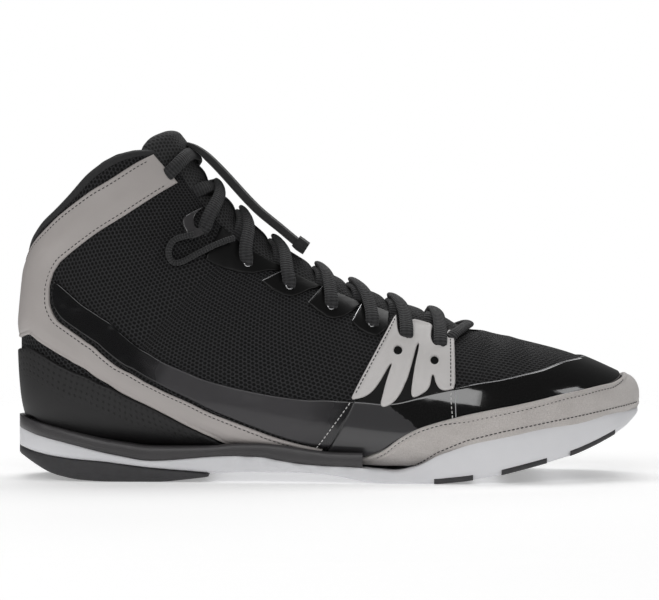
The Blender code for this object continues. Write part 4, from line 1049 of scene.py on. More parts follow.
def pinholes(finish, pitch, size):
    """Rows of round holes over the piece's own coordinates, 1 in a hole."""
    way = node(finish, "UVMap", {"uv_map": "way"}).outputs[0]
    scaled = node(finish, "VectorMath", {"operation": "SCALE"}, n0=way, Scale=1 / pitch).outputs[0]
    part = node(finish, "VectorMath", {"operation": "FRACTION"}, n0=scaled).outputs[0]
    shifted = node(finish, "VectorMath", {"operation": "SUBTRACT"}, n0=part, n1=(0.5, 0.5, 0)).outputs[0]
    away = node(finish, "VectorMath", {"operation": "LENGTH"}, n0=shifted).outputs["Value"]
    return ramp(finish, away, size, size * 1.3)


def beside(table, upper, inset, count=500, start=0.0, end=None):
    """Stations and angles of a line inside a piece's edge, at an inset from it across the piece."""
    way = np.linspace(start, len(table) - 1 if end is None else end, count)
    low_s, low, high_s, high, wide = edges_at(table, -1, way)
    share = np.minimum(inset / wide, 0.5)
    share = 1 - share if upper else share
    return low_s + (high_s - low_s) * share, low + (high - low) * share


THREAD_SINK = 0.0001


def stitches(name, line, side, off, finish, pitch=0.0021, long=0.0014, radius=0.00024, **words):
    """Row of stitches along a line on the form.

    Each is a capsule whose radius is the root of a sine along its length, half sunk in the piece.
    """
    s, angle = line
    route = last_offset(s, side, angle, off)
    out = last_normal(s, np.full(s.shape, side), angle)
    length = walked(route)
    at = np.arange(pitch / 2, length[-1], pitch)
    middle = read_along(at, length, route)
    up = read_along(at, length, out)
    run = unit(read_along(at + pitch / 4, length, route) - read_along(at - pitch / 4, length, route))
    across = unit(np.cross(up, run))
    lean = np.linspace(0.12, math.pi - 0.12, 6)
    turn = np.linspace(0, 2 * math.pi, 7)[:-1]
    along = -np.cos(lean) * long / 2
    thick = (np.sqrt(np.sin(lean)) * radius)[:, None]
    rise = thick * np.sin(turn) - THREAD_SINK * np.cos(lean)[:, None] ** 2
    ring = (middle[:, None, None] + run[:, None, None] * along[None, :, None, None]
            + across[:, None, None] * (thick * np.cos(turn))[None, ..., None]
            + up[:, None, None] * rise[None, ..., None])
    count = len(lean) * len(turn)
    one = ring_faces(len(lean), len(turn))
    faces = (one[None] + (np.arange(len(at)) * count)[:, None, None]).reshape(-1, 3)
    return put(name, ring.reshape(-1, 3), faces[:, ::-1], finish, **words)


black_thread = cloth("black_thread", (0.010, 0.010, 0.011), 0.6)
grain(black_thread, 5000, 1.0, 0.00004)
mottle(black_thread, 2500, 1.0, (0.005, 0.005, 0.006), (0.016, 0.016, 0.017))
white_thread = cloth("white_thread", (0.62, 0.61, 0.60), 0.6)
grain(white_thread, 5000, 1.0, 0.00004)
mottle(white_thread, 2500, 1.0, (0.50, 0.49, 0.48), (0.70, 0.69, 0.68))

counter_leather = cloth("counter_leather", (0.012, 0.011, 0.012), 0.55)
shine(counter_leather, 50, 3.0, 0.48, 0.62)
grain(counter_leather, 1500, 3.0, 0.00006)
# The pinholes lie in a strip of about 11 mm below the band
counter_near = ramp(counter_leather, parts_of_way(counter_leather)[1], 0.009, 0.013)
counter_holes = math_node(counter_leather, "MULTIPLY", pinholes(counter_leather, 0.0028, 0.17), counter_near)
sink(counter_leather, counter_holes, 0.0005)
# Painted shade: the pinholes are coloured near-black for the shade inside them.
dye(counter_leather, counter_holes, (0.010, 0.0095, 0.010), (0.001, 0.001, 0.001))
counter = weave([rungs(HEEL_COUNTER, side, 9, 30) for side, _ in SIDES])
overlay("heel_counter_shell", counter, 0.0015, counter_leather, stands_for=("heel_counter",),
        slot="counter_black")

# Side panel
# Charcoal film bonded over the knit along the quarter, glossy and wavy under a patterned print.
SIDE_PANEL = (
    (0.6055, 0.100, 0.5925, 0.390), (0.632, 0.113, 0.622, 0.372), (0.655, 0.137, 0.645, 0.353),
    (0.678, 0.170, 0.672, 0.348), (0.698, 0.200, 0.696, 0.352), (0.717, 0.231, 0.716, 0.360),
    (0.737, 0.271, 0.737, 0.374), (0.757, 0.307, 0.757, 0.400), (0.778, 0.342, 0.778, 0.424),
    (0.802, 0.368, 0.802, 0.447), (0.825, 0.371, 0.826, 0.452), (0.846, 0.361, 0.851, 0.439),
    (0.865, 0.326, 0.875, 0.390), (0.882, 0.278, 0.893, 0.335), (0.897, 0.228, 0.910, 0.280),
    (0.909, 0.201, 0.922, 0.235), (0.918, 0.194, 0.928, 0.207))
film = cloth("charcoal_film", (0.030, 0.028, 0.030), 0.3, coat=0.3)
film_along = node(film, "SeparateXYZ", n0=node(film, "TexCoord").outputs["Object"]).outputs[0]
film_wave = math_node(film, "MULTIPLY", math_node(film, "SUBTRACT", speckle(film, 60, 2.0), 0.5), 0.02)
film_place = math_node(film, "ADD", film_along, film_wave)
# Glossy at the rear and the front, satin between them
film_rear = ramp(film, film_place, 0.000, 0.018, 0.0, 1.0, "SMOOTHSTEP")
film_front = ramp(film, film_place, 0.070, 0.105, kind="SMOOTHSTEP")
film_satin = math_node(film, "MULTIPLY", film_rear, film_front)
dye(film, film_satin, (0.007, 0.007, 0.0075), (0.033, 0.031, 0.034))
gloss(film, film_satin, 0.12, 0.42)
grain(film, 110, 1.0, 0.0006)
for side, word in SIDES:
    panel = weave([rungs(SIDE_PANEL, side, 8, 20)])
    overlay(f"side_film_{word}", panel, 0.0007, film, rolled=0.0006, stands_for=(f"side_panel_{word}",),
            slot="satin_charcoal")

# Mudguard
# Patent leather from the arch round the toe, mirror-glossy black, its upper edge lying on the knit.
MUDGUARD = (
    (0.607, 0.105, 0.594, 0.392), (0.590, 0.100, 0.580, 0.400), (0.574, 0.105, 0.562, 0.405),
    (0.559, 0.135, 0.548, 0.420), (0.540, 0.213, 0.524, 0.462), (0.516, 0.284, 0.500, 0.507),
    (0.490, 0.331, 0.478, 0.540), (0.466, 0.370, 0.460, 0.565), (0.430, 0.412, 0.425, 0.610),
    (0.390, 0.448, 0.386, 0.652), (0.350, 0.487, 0.346, 0.710), (0.307, 0.527, 0.307, 0.775),
    (0.270, 0.577, 0.270, 0.865), (0.237, 0.622, 0.235, 0.940), (0.207, 0.660, 0.205, 1.000),
    (0.180, 0.705, 0.180, 1.000), (0.150, 0.768, 0.150, 1.000), (0.122, 0.862, 0.122, 1.000),
    (0.106, 0.940, 0.106, 1.000), (0.099, 0.985, 0.099, 1.000))
patent = cloth("patent_black", (0.003, 0.003, 0.003), 0.10, coat=1.0)
grain(patent, 90, 1.0, 0.00025)
# The charcoal film shows through at the rear lower corner, up to a ragged line
patent_place = node(patent, "SeparateXYZ", n0=node(patent, "TexCoord").outputs["Object"])
patent_line = math_node(patent, "ADD", patent_place.outputs[0],
                        math_node(patent, "MULTIPLY", patent_place.outputs[2], 1.29))
patent_line = math_node(patent, "ADD", patent_line,
                        math_node(patent, "MULTIPLY", speckle(patent, 420, 3.0), 0.006))
patent_rear = ramp(patent, patent_line, 0.1640, 0.1652)
dye(patent, patent_rear, (0.003, 0.003, 0.003), (0.026, 0.025, 0.027))
gloss(patent, patent_rear, 0.10, 0.36)
MUDGUARD_DROP = 0.035
guard_table = [(low_s, max(low_share - MUDGUARD_DROP, 0), high_s, high_share)
               for low_s, low_share, high_s, high_share in MUDGUARD]
guard = weave([rungs(guard_table, side, 8, 24) for side, _ in SIDES])
overlay("mudguard_patent", guard, 0.0009, patent, stands_for=("mudguard",), slot="gloss_black")
EDGE_LINE_RADIUS = 0.00022
# Painted highlight: a thin light grey line along the patent's cut edge, from the eyestay to the toe, stands
# in for the light that the edge catches
highlight_line = cloth("patent_edge_highlight", (0.40, 0.40, 0.41), 0.45)
shine(highlight_line, 900, 2.0, 0.35, 0.55)
for side, word in SIDES:
    s, angle = beside(MUDGUARD, True, 0.0002, 200, start=7.6, end=16.0)
    tube(last_offset(s, side, angle, 0.0009), EDGE_LINE_RADIUS, highlight_line, f"patent_edge_highlight_{word}", around=6)

# Collar band
# Warm-grey smooth leather with a padded face, from the top eyelet round the collar, down the heel and
# forward along the quarter to a point at the arch.
COLLAR_BAND = (
    (0.967, 0.870, 0.925, 0.900), (0.971, 0.780, 0.929, 0.800), (0.975, 0.600, 0.934, 0.620),
    (0.979, 0.437, 0.939, 0.440), (0.980, 0.260, 0.940, 0.310), (0.978, 0.140, 0.940, 0.250),
    (0.976, 0.075, 0.939, 0.230), (0.973, 0.036, 0.938, 0.218), (0.969, 0.010, 0.937, 0.208),
    (0.966, 0.000, 0.936, 0.200), (0.951, 0.000, 0.932, 0.187), (0.936, 0.000, 0.926, 0.178),
    (0.921, 0.000, 0.917, 0.177), (0.908, 0.000, 0.912, 0.180), (0.907, 0.010, 0.909, 0.184),
    (0.906, 0.030, 0.904, 0.193), (0.904, 0.060, 0.897, 0.210),
    (0.893, 0.112, 0.882, 0.262), (0.875, 0.185, 0.865, 0.310), (0.856, 0.243, 0.846, 0.345),
    (0.835, 0.280, 0.825, 0.355), (0.813, 0.286, 0.802, 0.352), (0.790, 0.265, 0.778, 0.325),
    (0.768, 0.232, 0.757, 0.290), (0.748, 0.190, 0.737, 0.255), (0.728, 0.142, 0.717, 0.215),
    (0.708, 0.098, 0.698, 0.185), (0.688, 0.062, 0.678, 0.155), (0.662, 0.062, 0.654, 0.120),
    (0.638, 0.066, 0.632, 0.097), (0.615, 0.070, 0.612, 0.084))
leather = cloth("grey_leather", (0.44, 0.41, 0.395), 0.5)
mottle(leather, 35, 4.0, (0.40, 0.37, 0.355), (0.49, 0.455, 0.44))
shine(leather, 80, 3.0, 0.40, 0.58)
grain(leather, 1300, 4.0, 0.00006)
band = weave([rungs(COLLAR_BAND, side, 8, 18) for side, _ in SIDES])


def band_face(edge):
    """Padding that rises from the edge on a cosine, with a bell-shaped groove under the stitches."""
    groove = 0.00028 * np.exp(-((edge - 0.0018) / 0.0005) ** 2)
    return 0.0008 * (1 - np.cos(np.pi * edge / EXTRA_REACH)) / 2 - groove


overlay("collar_band_leather", band, 0.0010, leather, stands_for=("collar_band",), slot="grey_leather",
        extra=band_face)
STITCH_INSET = 0.0018
BAND_THREAD_RISE = 0.00112
for side, word in SIDES:
    for name, upper, end in (("band", True, 29.4), ("band_top", False, 8.8)):
        row = beside(COLLAR_BAND, upper, STITCH_INSET, start=0.6, end=end)
        stitches(f"{name}_stitches_{word}", row, side, BAND_THREAD_RISE, black_thread)

# Toe guard
# Warm-grey suede with a short nap, from the arch round the toe, glued over the patent and down to the sole.
TOE_GUARD = (
    (0.000, 0.000, 0.000, 1.000), (0.020, 0.050, 0.020, 1.000), (0.045, 0.080, 0.045, 1.000),
    (0.068, 0.090, 0.068, 1.000), (0.082, 0.090, 0.081, 1.000), (0.096, 0.090, 0.090, 0.950),
    (0.117, 0.100, 0.109, 0.860), (0.148, 0.110, 0.140, 0.755), (0.186, 0.110, 0.175, 0.690),
    (0.232, 0.110, 0.225, 0.612), (0.276, 0.110, 0.270, 0.560), (0.316, 0.110, 0.312, 0.508),
    (0.358, 0.100, 0.355, 0.465), (0.398, 0.090, 0.395, 0.430), (0.443, 0.080, 0.440, 0.385),
    (0.470, 0.060, 0.466, 0.352), (0.495, 0.050, 0.490, 0.315), (0.517, 0.040, 0.514, 0.268),
    (0.536, 0.035, 0.535, 0.200), (0.552, 0.030, 0.552, 0.120), (0.566, 0.028, 0.568, 0.070),
    (0.580, 0.026, 0.582, 0.040))
suede = cloth("grey_suede", (0.55, 0.51, 0.49), 0.95, sheen=0.5)
suede_tone = math_node(suede, "ADD", math_node(suede, "MULTIPLY", speckle(suede, 1700, 4.0), 0.7),
                       math_node(suede, "MULTIPLY", speckle(suede, 120, 3.0), 0.3))
dye(suede, suede_tone, (0.36, 0.33, 0.31), (0.74, 0.70, 0.675))
grain(suede, 3600, 3.0, 0.00035)
toe_net = weave([rungs(TOE_GUARD, side, 8, 26) for side, _ in SIDES])
overlay("toe_guard_suede", toe_net, 0.0013, suede, base=0.0006, stands_for=("toe_guard",), slot="grey_suede",
        extra=lambda edge: -0.0003 * np.exp(-((edge - 0.0020) / 0.0005) ** 2))

# The suede's stitches: one row inside the upper edge, and one above the sole
SUEDE_INSET = 0.0020
SUEDE_THREAD_RISE = 0.00175
SUEDE_LOW_THREAD_RISE = 0.00205
# Columns: across and down in the side view
SOLE_ROW = ((392, 468), (410, 459.5), (435, 445.5), (464, 434.8), (498, 426.8), (540, 418.8), (592, 409.8),
            (622, 404.8), (634, 402.6))
VIEW_ORIGIN = (17.0, 478.0)


def lift(points, side):
    """Station and angle of the form's points that show at given places in the side view.

    The form's side view is turned round by Newton's steps, with slopes from small differences.
    """
    points = np.asarray(points, float)
    x = (points[:, 0] - VIEW_ORIGIN[0]) * PIXEL - HEEL_REST
    z = (VIEW_ORIGIN[1] - points[:, 1]) * PIXEL
    tries_s = np.repeat(np.linspace(0.02, 0.98, 120), 60)
    tries_angle = np.tile(np.linspace(-1.3, 1.45, 60), 120)
    tried = last_point(tries_s, side, tries_angle)
    best = ((tried[:, 0] - x[:, None]) ** 2 + (tried[:, 2] - z[:, None]) ** 2).argmin(axis=1)
    s, angle = tries_s[best], tries_angle[best]
    for _ in range(12):
        here = last_point(s, side, angle)
        by_s = (last_point(s + 0.001, side, angle) - here) / 0.001
        by_angle = (last_point(s, side, angle + 0.001) - here) / 0.001
        gap_x, gap_z = x - here[:, 0], z - here[:, 2]
        area = by_s[:, 0] * by_angle[:, 2] - by_angle[:, 0] * by_s[:, 2]
        area = np.where(np.abs(area) < 1e-7, 1e-7, area)
        step_s = (gap_x * by_angle[:, 2] - by_angle[:, 0] * gap_z) / area
        step_angle = (by_s[:, 0] * gap_z - gap_x * by_s[:, 2]) / area
        s = np.clip(s + np.clip(step_s, -0.03, 0.03), 0.001, 0.999)
        angle = np.clip(angle + np.clip(step_angle, -0.15, 0.15), -1.55, 1.55)
    return s, angle


def even(points, pitch, closed=False):
    """Line of points walked at an even pitch."""
    points = np.asarray(points, float)
    if closed:
        points = np.concatenate([points, points[:1]])
    way = walked(points)
    count = max(int(round(way[-1] / pitch)), 2)
    at = np.linspace(0, way[-1], count + 1)
    return read_along(at[:-1] if closed else at, way, points)


def drawn(line):
    """Stations and angles of a line drawn on the outer side's view, at steps of one PIXEL."""
    return lift(even(line, 1.0), -1)


sole_row = drawn(SOLE_ROW)
for side, word in SIDES:
    row = beside(TOE_GUARD, True, SUEDE_INSET, start=5.4, end=19.4)
    stitches(f"suede_stitches_{word}", row, side, SUEDE_THREAD_RISE, black_thread)
    stitches(f"suede_low_stitches_{word}", sole_row, side, SUEDE_LOW_THREAD_RISE, black_thread)

# Eyestay
# Light grey leather under the first two rows of the lacing: four fingers with a pressed rim, two slots
# that the lace drops into and two vent holes. Its outline is drawn in the side view.
# Columns: across and down in the side view, in steps of PIXEL
STAY_OUTLINE = (
    (394.8, 314.6), (396.0, 320), (396.4, 327), (397.4, 332), (399.4, 335.8), (402.8, 336.9), (406, 335.4),
    (408.2, 331), (409.4, 326), (410.0, 320.4), (420.4, 322.8), (432.0, 326.4), (430.4, 332),
    (429.8, 337.5), (430.8, 342), (433.6, 345.2), (436.8, 345.2), (439.2, 342.8), (442.6, 337.6),
    (445.8, 332.2), (447.6, 331.6), (450.6, 332.6), (452.7, 335.4), (452.9, 344), (453.1, 362),
    (453.1, 384.8), (447.2, 386.6), (440.8, 387.1), (436.6, 384.4), (433.8, 379.4), (432.6, 374),
    (431.4, 371.8), (430.8, 372.2), (429.8, 374.2), (429.2, 378.6), (428, 383), (425, 387.4), (419.4, 391),
    (413.2, 393.8), (410.6, 392.8), (409.8, 389.2), (410.2, 384.8), (411.4, 376), (414, 360.8),
    (416.8, 350), (417.8, 343.4), (417.2, 342.4), (415.6, 344.6), (413.4, 351.8), (409.8, 364.2),
    (406.2, 376), (403.8, 380.4), (401.6, 385.8), (398, 392), (393.6, 397.4), (388.2, 401.4),
    (382.8, 403.2), (380.2, 401.8), (380, 398.2), (382, 391), (384.6, 380.4), (388.2, 369.6), (391, 361.8),
    (389.8, 361.4), (387.8, 364.2), (383.8, 370.6), (380.2, 376.8), (376.6, 382.2), (371.4, 388.4),
    (365, 392.8), (357.8, 395), (350.4, 396), (354, 388), (362, 372.6), (370, 358.2), (378, 343.8),
    (386, 329.6))
STAY_HOLES = ((396.9, 348.9, 4.2), (432.9, 358.7, 4.0))


def rounded(outline, turns=2):
    """Closed outline with its corners cut twice, each time at a quarter and three quarters of its sides."""
    points = np.asarray(outline, float)
    for _ in range(turns):
        ahead = np.roll(points, -1, axis=0)
        points = np.stack([points * 0.75 + ahead * 0.25, points * 0.25 + ahead * 0.75], 1).reshape(-1, 2)
    return points


def inside_of(points, outline):
    """True for points within a closed outline: those with an odd number of its sides to their right."""
    a = outline[None]
    b = np.roll(outline, -1, axis=0)[None]
    p = points[:, None]
    crosses = (a[..., 1] > p[..., 1]) != (b[..., 1] > p[..., 1])
    rise = np.where(np.abs(b[..., 1] - a[..., 1]) < 1e-12, 1e-12, b[..., 1] - a[..., 1])
    at = a[..., 0] + (p[..., 1] - a[..., 1]) * (b[..., 0] - a[..., 0]) / rise
    return np.sum(crosses & (p[..., 0] < at), axis=1) % 2 == 1


def cut_out(outline, gaps, side, pitch=0.8, fill=3.0):
    """Net inside an outline of the side view, less its holes, closer set beside every edge."""
    loops = [even(outline, pitch, True)] + [even(gap, pitch, True) for gap in gaps]
    border = np.concatenate(loops)
    edges = []
    start = 0
    for loop in loops:
        index = np.arange(len(loop))
        edges.append(np.stack([index, np.roll(index, -1)], -1) + start)
        start += len(loop)
    near = []
    for loop in loops:
        run = np.roll(loop, -1, axis=0) - np.roll(loop, 1, axis=0)
        turned = unit(np.stack([-run[:, 1], run[:, 0]], -1))
        near += [loop + turned * off for off in (-1.9, -1.1, -0.55, 0.55, 1.1, 1.9)]
    low, high = border.min(0), border.max(0)
    across, down = np.meshgrid(np.arange(low[0], high[0], fill), np.arange(low[1], high[1], fill),
                               indexing="ij")
    extra = []
    for tried, least in ((np.concatenate(near), 0.45), (np.stack([across.ravel(), down.ravel()], -1), 3.0)):
        gap = np.sqrt(((tried[:, None] - border[None]) ** 2).sum(-1)).min(1)
        extra.append(tried[gap > least])
    extra = np.concatenate(extra)

    def on_piece(places):
        within = inside_of(places, loops[0])
        for loop in loops[1:]:
            within &= ~inside_of(places, loop)
        return within

    within = on_piece(extra)
    points = np.concatenate([border, extra[within]])
    made = delaunay_2d_cdt([Vector(p) for p in points], np.concatenate(edges).tolist(), [], 0, 0.001)
    points = np.array([tuple(v) for v in made[0]])
    faces = np.array([face for face in made[2]])
    faces = faces[on_piece(points[faces].mean(axis=1))]
    used, faces = np.unique(faces, return_inverse=True)
    faces = faces.reshape(-1, 3)
    points = points[used]
    s, angle = lift(points, side)
    flat = last_point(s, side, angle)
    out = last_normal(s, np.full(s.shape, side), angle)
    turn = np.cross(flat[faces[:, 1]] - flat[faces[:, 0]], flat[faces[:, 2]] - flat[faces[:, 0]])
    wrong = np.sum(turn * out[faces[:, 0]], -1) < 0
    faces[wrong] = faces[wrong][:, ::-1]
    return {"s": s, "side": np.full(s.shape, side), "angle": angle, "flat": flat, "uv": points * PIXEL,
            "faces": faces}


def circle(x, y, radius, count=24):
    """Closed ring of points about a place in the side view."""
    turn = np.linspace(0, 2 * math.pi, count + 1)[:-1]
    return np.stack([x + radius * np.cos(turn), y + radius * np.sin(turn)], -1)


def pressed_rim(edge):
    """Groove just inside the edge, a bell curve of the distance from it."""
    return -0.0005 * np.exp(-((edge - 0.0019) / 0.00045) ** 2)


def mirrored(net):
    """The same net on the inner side, at the same stations and angles, with its faces turned round."""
    other = dict(net)
    other["side"] = -net["side"]
    other["flat"] = last_point(net["s"], other["side"], net["angle"])
    other["faces"] = net["faces"][:, ::-1]
    return other


def on_both_sides(name, net, thickness, finish, node_name=None, **words):
    """The same overlay on the outer and the inner side, each standing for its own side's CAD node."""
    for half, (_, word) in zip((net, mirrored(net)), SIDES):
        stands_for = (f"{node_name}_{word}",) if node_name else ()
        overlay(f"{name}_{word}", half, thickness, finish, stands_for=stands_for, **words)


stay_leather = cloth("stay_leather", (0.62, 0.60, 0.59), 0.5)
mottle(stay_leather, 60, 3.0, (0.57, 0.55, 0.54), (0.66, 0.64, 0.63))
grain(stay_leather, 1500, 3.0, 0.00006)
# Smooth black backing that shows between the fingers and through the holes
STAY_GROUND = (
    (396.6, 320), (388, 334), (371, 364), (356, 392), (357, 399), (372, 407), (396, 405), (420, 397),
    (440, 391), (452.4, 388), (452.4, 336), (446, 334), (432, 346), (410, 338), (402, 339))
ground_film = cloth("stay_backing", (0.004, 0.004, 0.004), 0.6, specular=0.2)
shine(ground_film, 60, 2.0, 0.5, 0.65)
grain(ground_film, 900, 2.0, 0.00005)
ground = cut_out(np.array(STAY_GROUND, float), [], -1)
on_both_sides("stay_backing", ground, 0.0005, ground_film, rolled=0.0005, slot="gloss_black")
# Columns: across and down in the side view
STAY_REAR = ((393.6, 320.4), (386.6, 333.6), (378.6, 347.8), (370.6, 362.2), (362.6, 376.8), (354.6, 391.6))
STAY_FRONT = ((448.6, 335.2), (448.6, 350), (448.6, 366), (448.6, 383))
FRONT_SEAM = ((448.8, 388.4), (448.9, 396), (449.4, 404), (450.2, 412.6))
REAR_SEAM = ((350.2, 398.4), (342, 410), (333, 422), (324, 434), (315.4, 444.6))
FRONT_EDGE = ((453.0, 387.4), (453.1, 400), (453.6, 412.4))
# Columns: name, line, distance off the form, thread
STAY_ROWS = (("rear", STAY_REAR, 0.00195, black_thread), ("front", STAY_FRONT, 0.00195, black_thread),
             ("front_seam", FRONT_SEAM, 0.0012, white_thread), ("rear_seam", REAR_SEAM, 0.0010, white_thread))
for side, word in SIDES:
    for name, row, off, thread in STAY_ROWS:
        stitches(f"stay_{name}_stitches_{word}", drawn(row), side, off, thread)
    # Painted highlight: the same light grey line along the eyestay's front edge, for the light that the edge
    # catches.
    s, angle = drawn(FRONT_EDGE)
    tube(last_offset(s, side, angle, 0.0011), EDGE_LINE_RADIUS, highlight_line, f"front_seam_highlight_{word}", around=6)
stay = cut_out(rounded(STAY_OUTLINE, 1), [circle(*hole) for hole in STAY_HOLES], -1)
on_both_sides("eyestay_leather", stay, 0.0012, stay_leather, "eyestay", rolled=0.0007, base=0.0007,
              extra=pressed_rim, slot="stay_leather")

# Eyelet facing
# Leaves of glossy black film along the throat, each with a silver eyelet ring and a silver line at its rear
# corner, and a bracket at the ankle.
# Columns: across and down in the side view, along the lower edge from the front
FACING = (
    (388, 326), (382, 331), (375.7, 334.8), (367, 332.4), (358, 327.4), (351.8, 321.4), (355.6, 314.2),
    (360.4, 305.2), (352, 311), (343.6, 315.4), (333, 317.2), (326, 315.4), (317, 309.6), (308.4, 302.4),
    (314.6, 295.6), (321.8, 287.2), (311, 289), (300.7, 293.2), (292, 295.8), (283, 294.2), (272, 288.8),
    (262.4, 280.8), (271.6, 276.2), (281, 270.6), (268.6, 270.2), (254, 272.8), (240, 271.8), (224, 267.2),
    (214, 263), (206.4, 258.4), (209, 250), (214, 243))
ANKLE_TAB = (
    (201.4, 207.6), (193, 211.6), (186.6, 215.2), (184.4, 219), (184.2, 223), (186, 230), (188.8, 236.4),
    (191.2, 239.2), (196.4, 238), (206.4, 233.6), (208.6, 229.4), (208.8, 226), (201.6, 227), (196.8, 228.4),
    (194.6, 224), (195, 216), (199.6, 211))
facing_film = cloth("facing_film", (0.005, 0.005, 0.005), 0.3, specular=0.3)
grain(facing_film, 140, 1.0, 0.0002)
tab_film = cloth("tab_film", (0.042, 0.040, 0.042), 0.28, coat=0.5)
mottle(tab_film, 60, 2.0, (0.034, 0.032, 0.034), (0.052, 0.050, 0.052))


def to_view(points):
    """Places in the side view of points in space."""
    across = VIEW_ORIGIN[0] + (points[:, 0] + HEEL_REST) / PIXEL
    return np.stack([across, VIEW_ORIGIN[1] - points[:, 2] / PIXEL], -1)


throat_rows = np.linspace(0.848, 0.572, 60)
throat_line = to_view(last_point(throat_rows, -1, throat_angle(throat_rows, -1, 0.0004)))
leaves = cut_out(np.concatenate([even(FACING, 1.2), throat_line]), [], -1, fill=2.4)
bracket = cut_out(rounded(ANKLE_TAB, 1), [], -1, pitch=0.6, fill=2.0)
on_both_sides("facing_film", leaves, 0.0008, facing_film, "lace_facing", rolled=0.0006, slot="gloss_black")
on_both_sides("ankle_bracket", bracket, 0.0010, tab_film, "ankle_tab", rolled=0.0005, slot="gloss_black")

silver = cloth("silver_edge", (0.55, 0.55, 0.56), 0.25)
shader_of(silver).inputs["Metallic"].default_value = 0.8
shine(silver, 900, 2.0, 0.18, 0.34)
# Columns: across and down in the side view
SILVER_LINES = (
    ((262.5, 280.3), (281.0, 271.8)), ((308.2, 302.0), (322.0, 287.6)), ((351.8, 320.4), (360.6, 305.6)),
    ((187.6, 215.5), (201.5, 208.6)))
RING_RADIUS = 3.8
RING_WIRE = 0.00028
RINGS = ((248.3, 262.6), (289.8, 285.2), (331.0, 305.2), (371.5, 322.4))
for side, word in SIDES:
    for number, line in enumerate(SILVER_LINES, 1):
        s, angle = drawn(line)
        route = last_offset(s, side, angle, 0.0010)
        tube(route, EDGE_LINE_RADIUS, silver, f"silver_line_{number}_{word}", around=6)
    for number, (x, y) in enumerate(RINGS, 1):
        s, angle = lift(circle(x, y, RING_RADIUS, 28), -1)
        ring = last_offset(s, side, angle, 0.0011)
        tube(np.concatenate([ring, ring[:2]]), RING_WIRE, silver, f"eyelet_ring_{number}_{word}", around=6)

# Laces
# Two halves of one ribbed, flat-oval lace. Each comes up through an eyelet, lies over that facing, crosses
# the tongue, dips under the other facing and comes up again; the hidden ends stop at the top eyelets.
# Columns: station and share up the section of the eyelet, then how far on the lace is at the ridge and at
# the edge that it dips under, in stations
EYELETS = ((0.490, 0.824, 0.014, 0.018), (0.543, 0.826, 0.028, 0.020), (0.594, 0.850, 0.040, 0.024),
           (0.655, 0.872, 0.038, 0.024), (0.720, 0.888, 0.052, 0.028), (0.786, 0.892, 0.054, 0.034),
           (0.864, 0.880, 0.030, 0.040), (0.940, 0.886, 0.008, 0.0))
BAR_STEP = 0.050
STRAND_LIFT = 0.0010
STRAND_HUMP = 0.0026
LACE_WIDTH = 0.0062
LACE_THICKNESS = 0.0029
lace = cloth("lace_weave", (0.03, 0.03, 0.031), 0.8, sheen=0.1)
lace_parts = parts_of_way(lace)
cross_rib = math_node(lace, "SINE", math_node(lace, "MULTIPLY", lace_parts[0], 2 * math.pi / 0.00125))
long_rib = math_node(lace, "SINE", math_node(lace, "MULTIPLY", lace_parts[1], 2 * math.pi * 7))
rib_height = math_node(lace, "ADD", math_node(lace, "MULTIPLY", cross_rib, 0.35),
                       math_node(lace, "MULTIPLY", long_rib, 0.15))
rib_height = math_node(lace, "ADD", rib_height, 0.5)
# Painted shade: the rib heights also colour the lace, darker in the grooves between the ribs and lighter on
# their tops.
dye(lace, rib_height, (0.006, 0.006, 0.0065), (0.036, 0.036, 0.038))
raise_by(lace, rib_height, 0.0005)


def woven_skin(name, ring, at, turn, **words):
    """Lace over rings whose last point repeats the first, so that the weave's coordinates don't wrap."""
    index = np.arange(ring.shape[0] * ring.shape[1]).reshape(ring.shape[:2])
    quad = np.stack([index[:-1, :-1], index[:-1, 1:], index[1:, 1:], index[1:, :-1]], -1).reshape(-1, 4)
    fan = np.arange(1, ring.shape[1] - 2)
    faces = np.concatenate([quad[:, [0, 1, 2]], quad[:, [0, 2, 3]], np.stack([0 * fan, fan + 1, fan], -1),
                            np.stack([0 * fan, fan, fan + 1], -1) + index[-1, 0]])
    uv = np.stack([index * 0.0 + at[:, None], index * 0.0 + turn / (2 * math.pi)], -1)
    return put(name, ring.reshape(-1, 3), faces, lace, uv=uv.reshape(-1, 2), slot="lace_grey", **words)


def lace_body(name, s, y, lift_off, width, thick, around=16, pitch=0.0007, **words):
    """Oval lace along stations and distances from the centre, at heights off the form.

    The route is a smooth curve through its points; its width lies along the form's own length, square to
    the way it runs, and its section is an ellipse.
    """
    s, y, lift_off = np.array(s, float), np.array(y, float), np.array(lift_off, float)
    steps = np.stack([np.diff(s) * STATION_REACH, np.diff(y), np.diff(lift_off)], -1)
    knots = np.concatenate([[0], np.cumsum(np.linalg.norm(steps, axis=-1) ** 0.7)])
    way = np.linspace(0, knots[-1], 40 * len(s))
    s_way, y_way, off = [curve(knots, values)(way) for values in (s, y, lift_off)]
    side = np.where(y_way < 0, -1, 1)
    angle = angle_of_width(s_way, side, np.abs(y_way), True)
    route = last_offset(s_way, side, angle, off)
    along_form = last_point(s_way + 0.002, side, angle) - last_point(s_way - 0.002, side, angle)
    length = walked(route)
    at = np.linspace(0, length[-1], int(length[-1] / pitch))
    route = read_along(at, length, route)
    guide = read_along(at, length, along_form)
    run = unit(np.gradient(route, axis=0))
    wide = unit(guide - run * np.sum(guide * run, -1, keepdims=True))
    turn = np.linspace(0, 2 * math.pi, around + 1)
    rise = np.sign(np.sin(turn)) * np.abs(np.sin(turn)) ** 0.8 * thick / 2
    ring = loops_about(route, wide, np.cross(run, wide), np.cos(turn) * width / 2, rise)
    return woven_skin(name, ring, at, turn, **words)


eyelet_width = {side: [float(width_at(np.float64(s), side, angle_at(s, share))) for s, share, _, _ in EYELETS]
                for side, _ in SIDES}
bar = EYELETS[0][0] - BAR_STEP
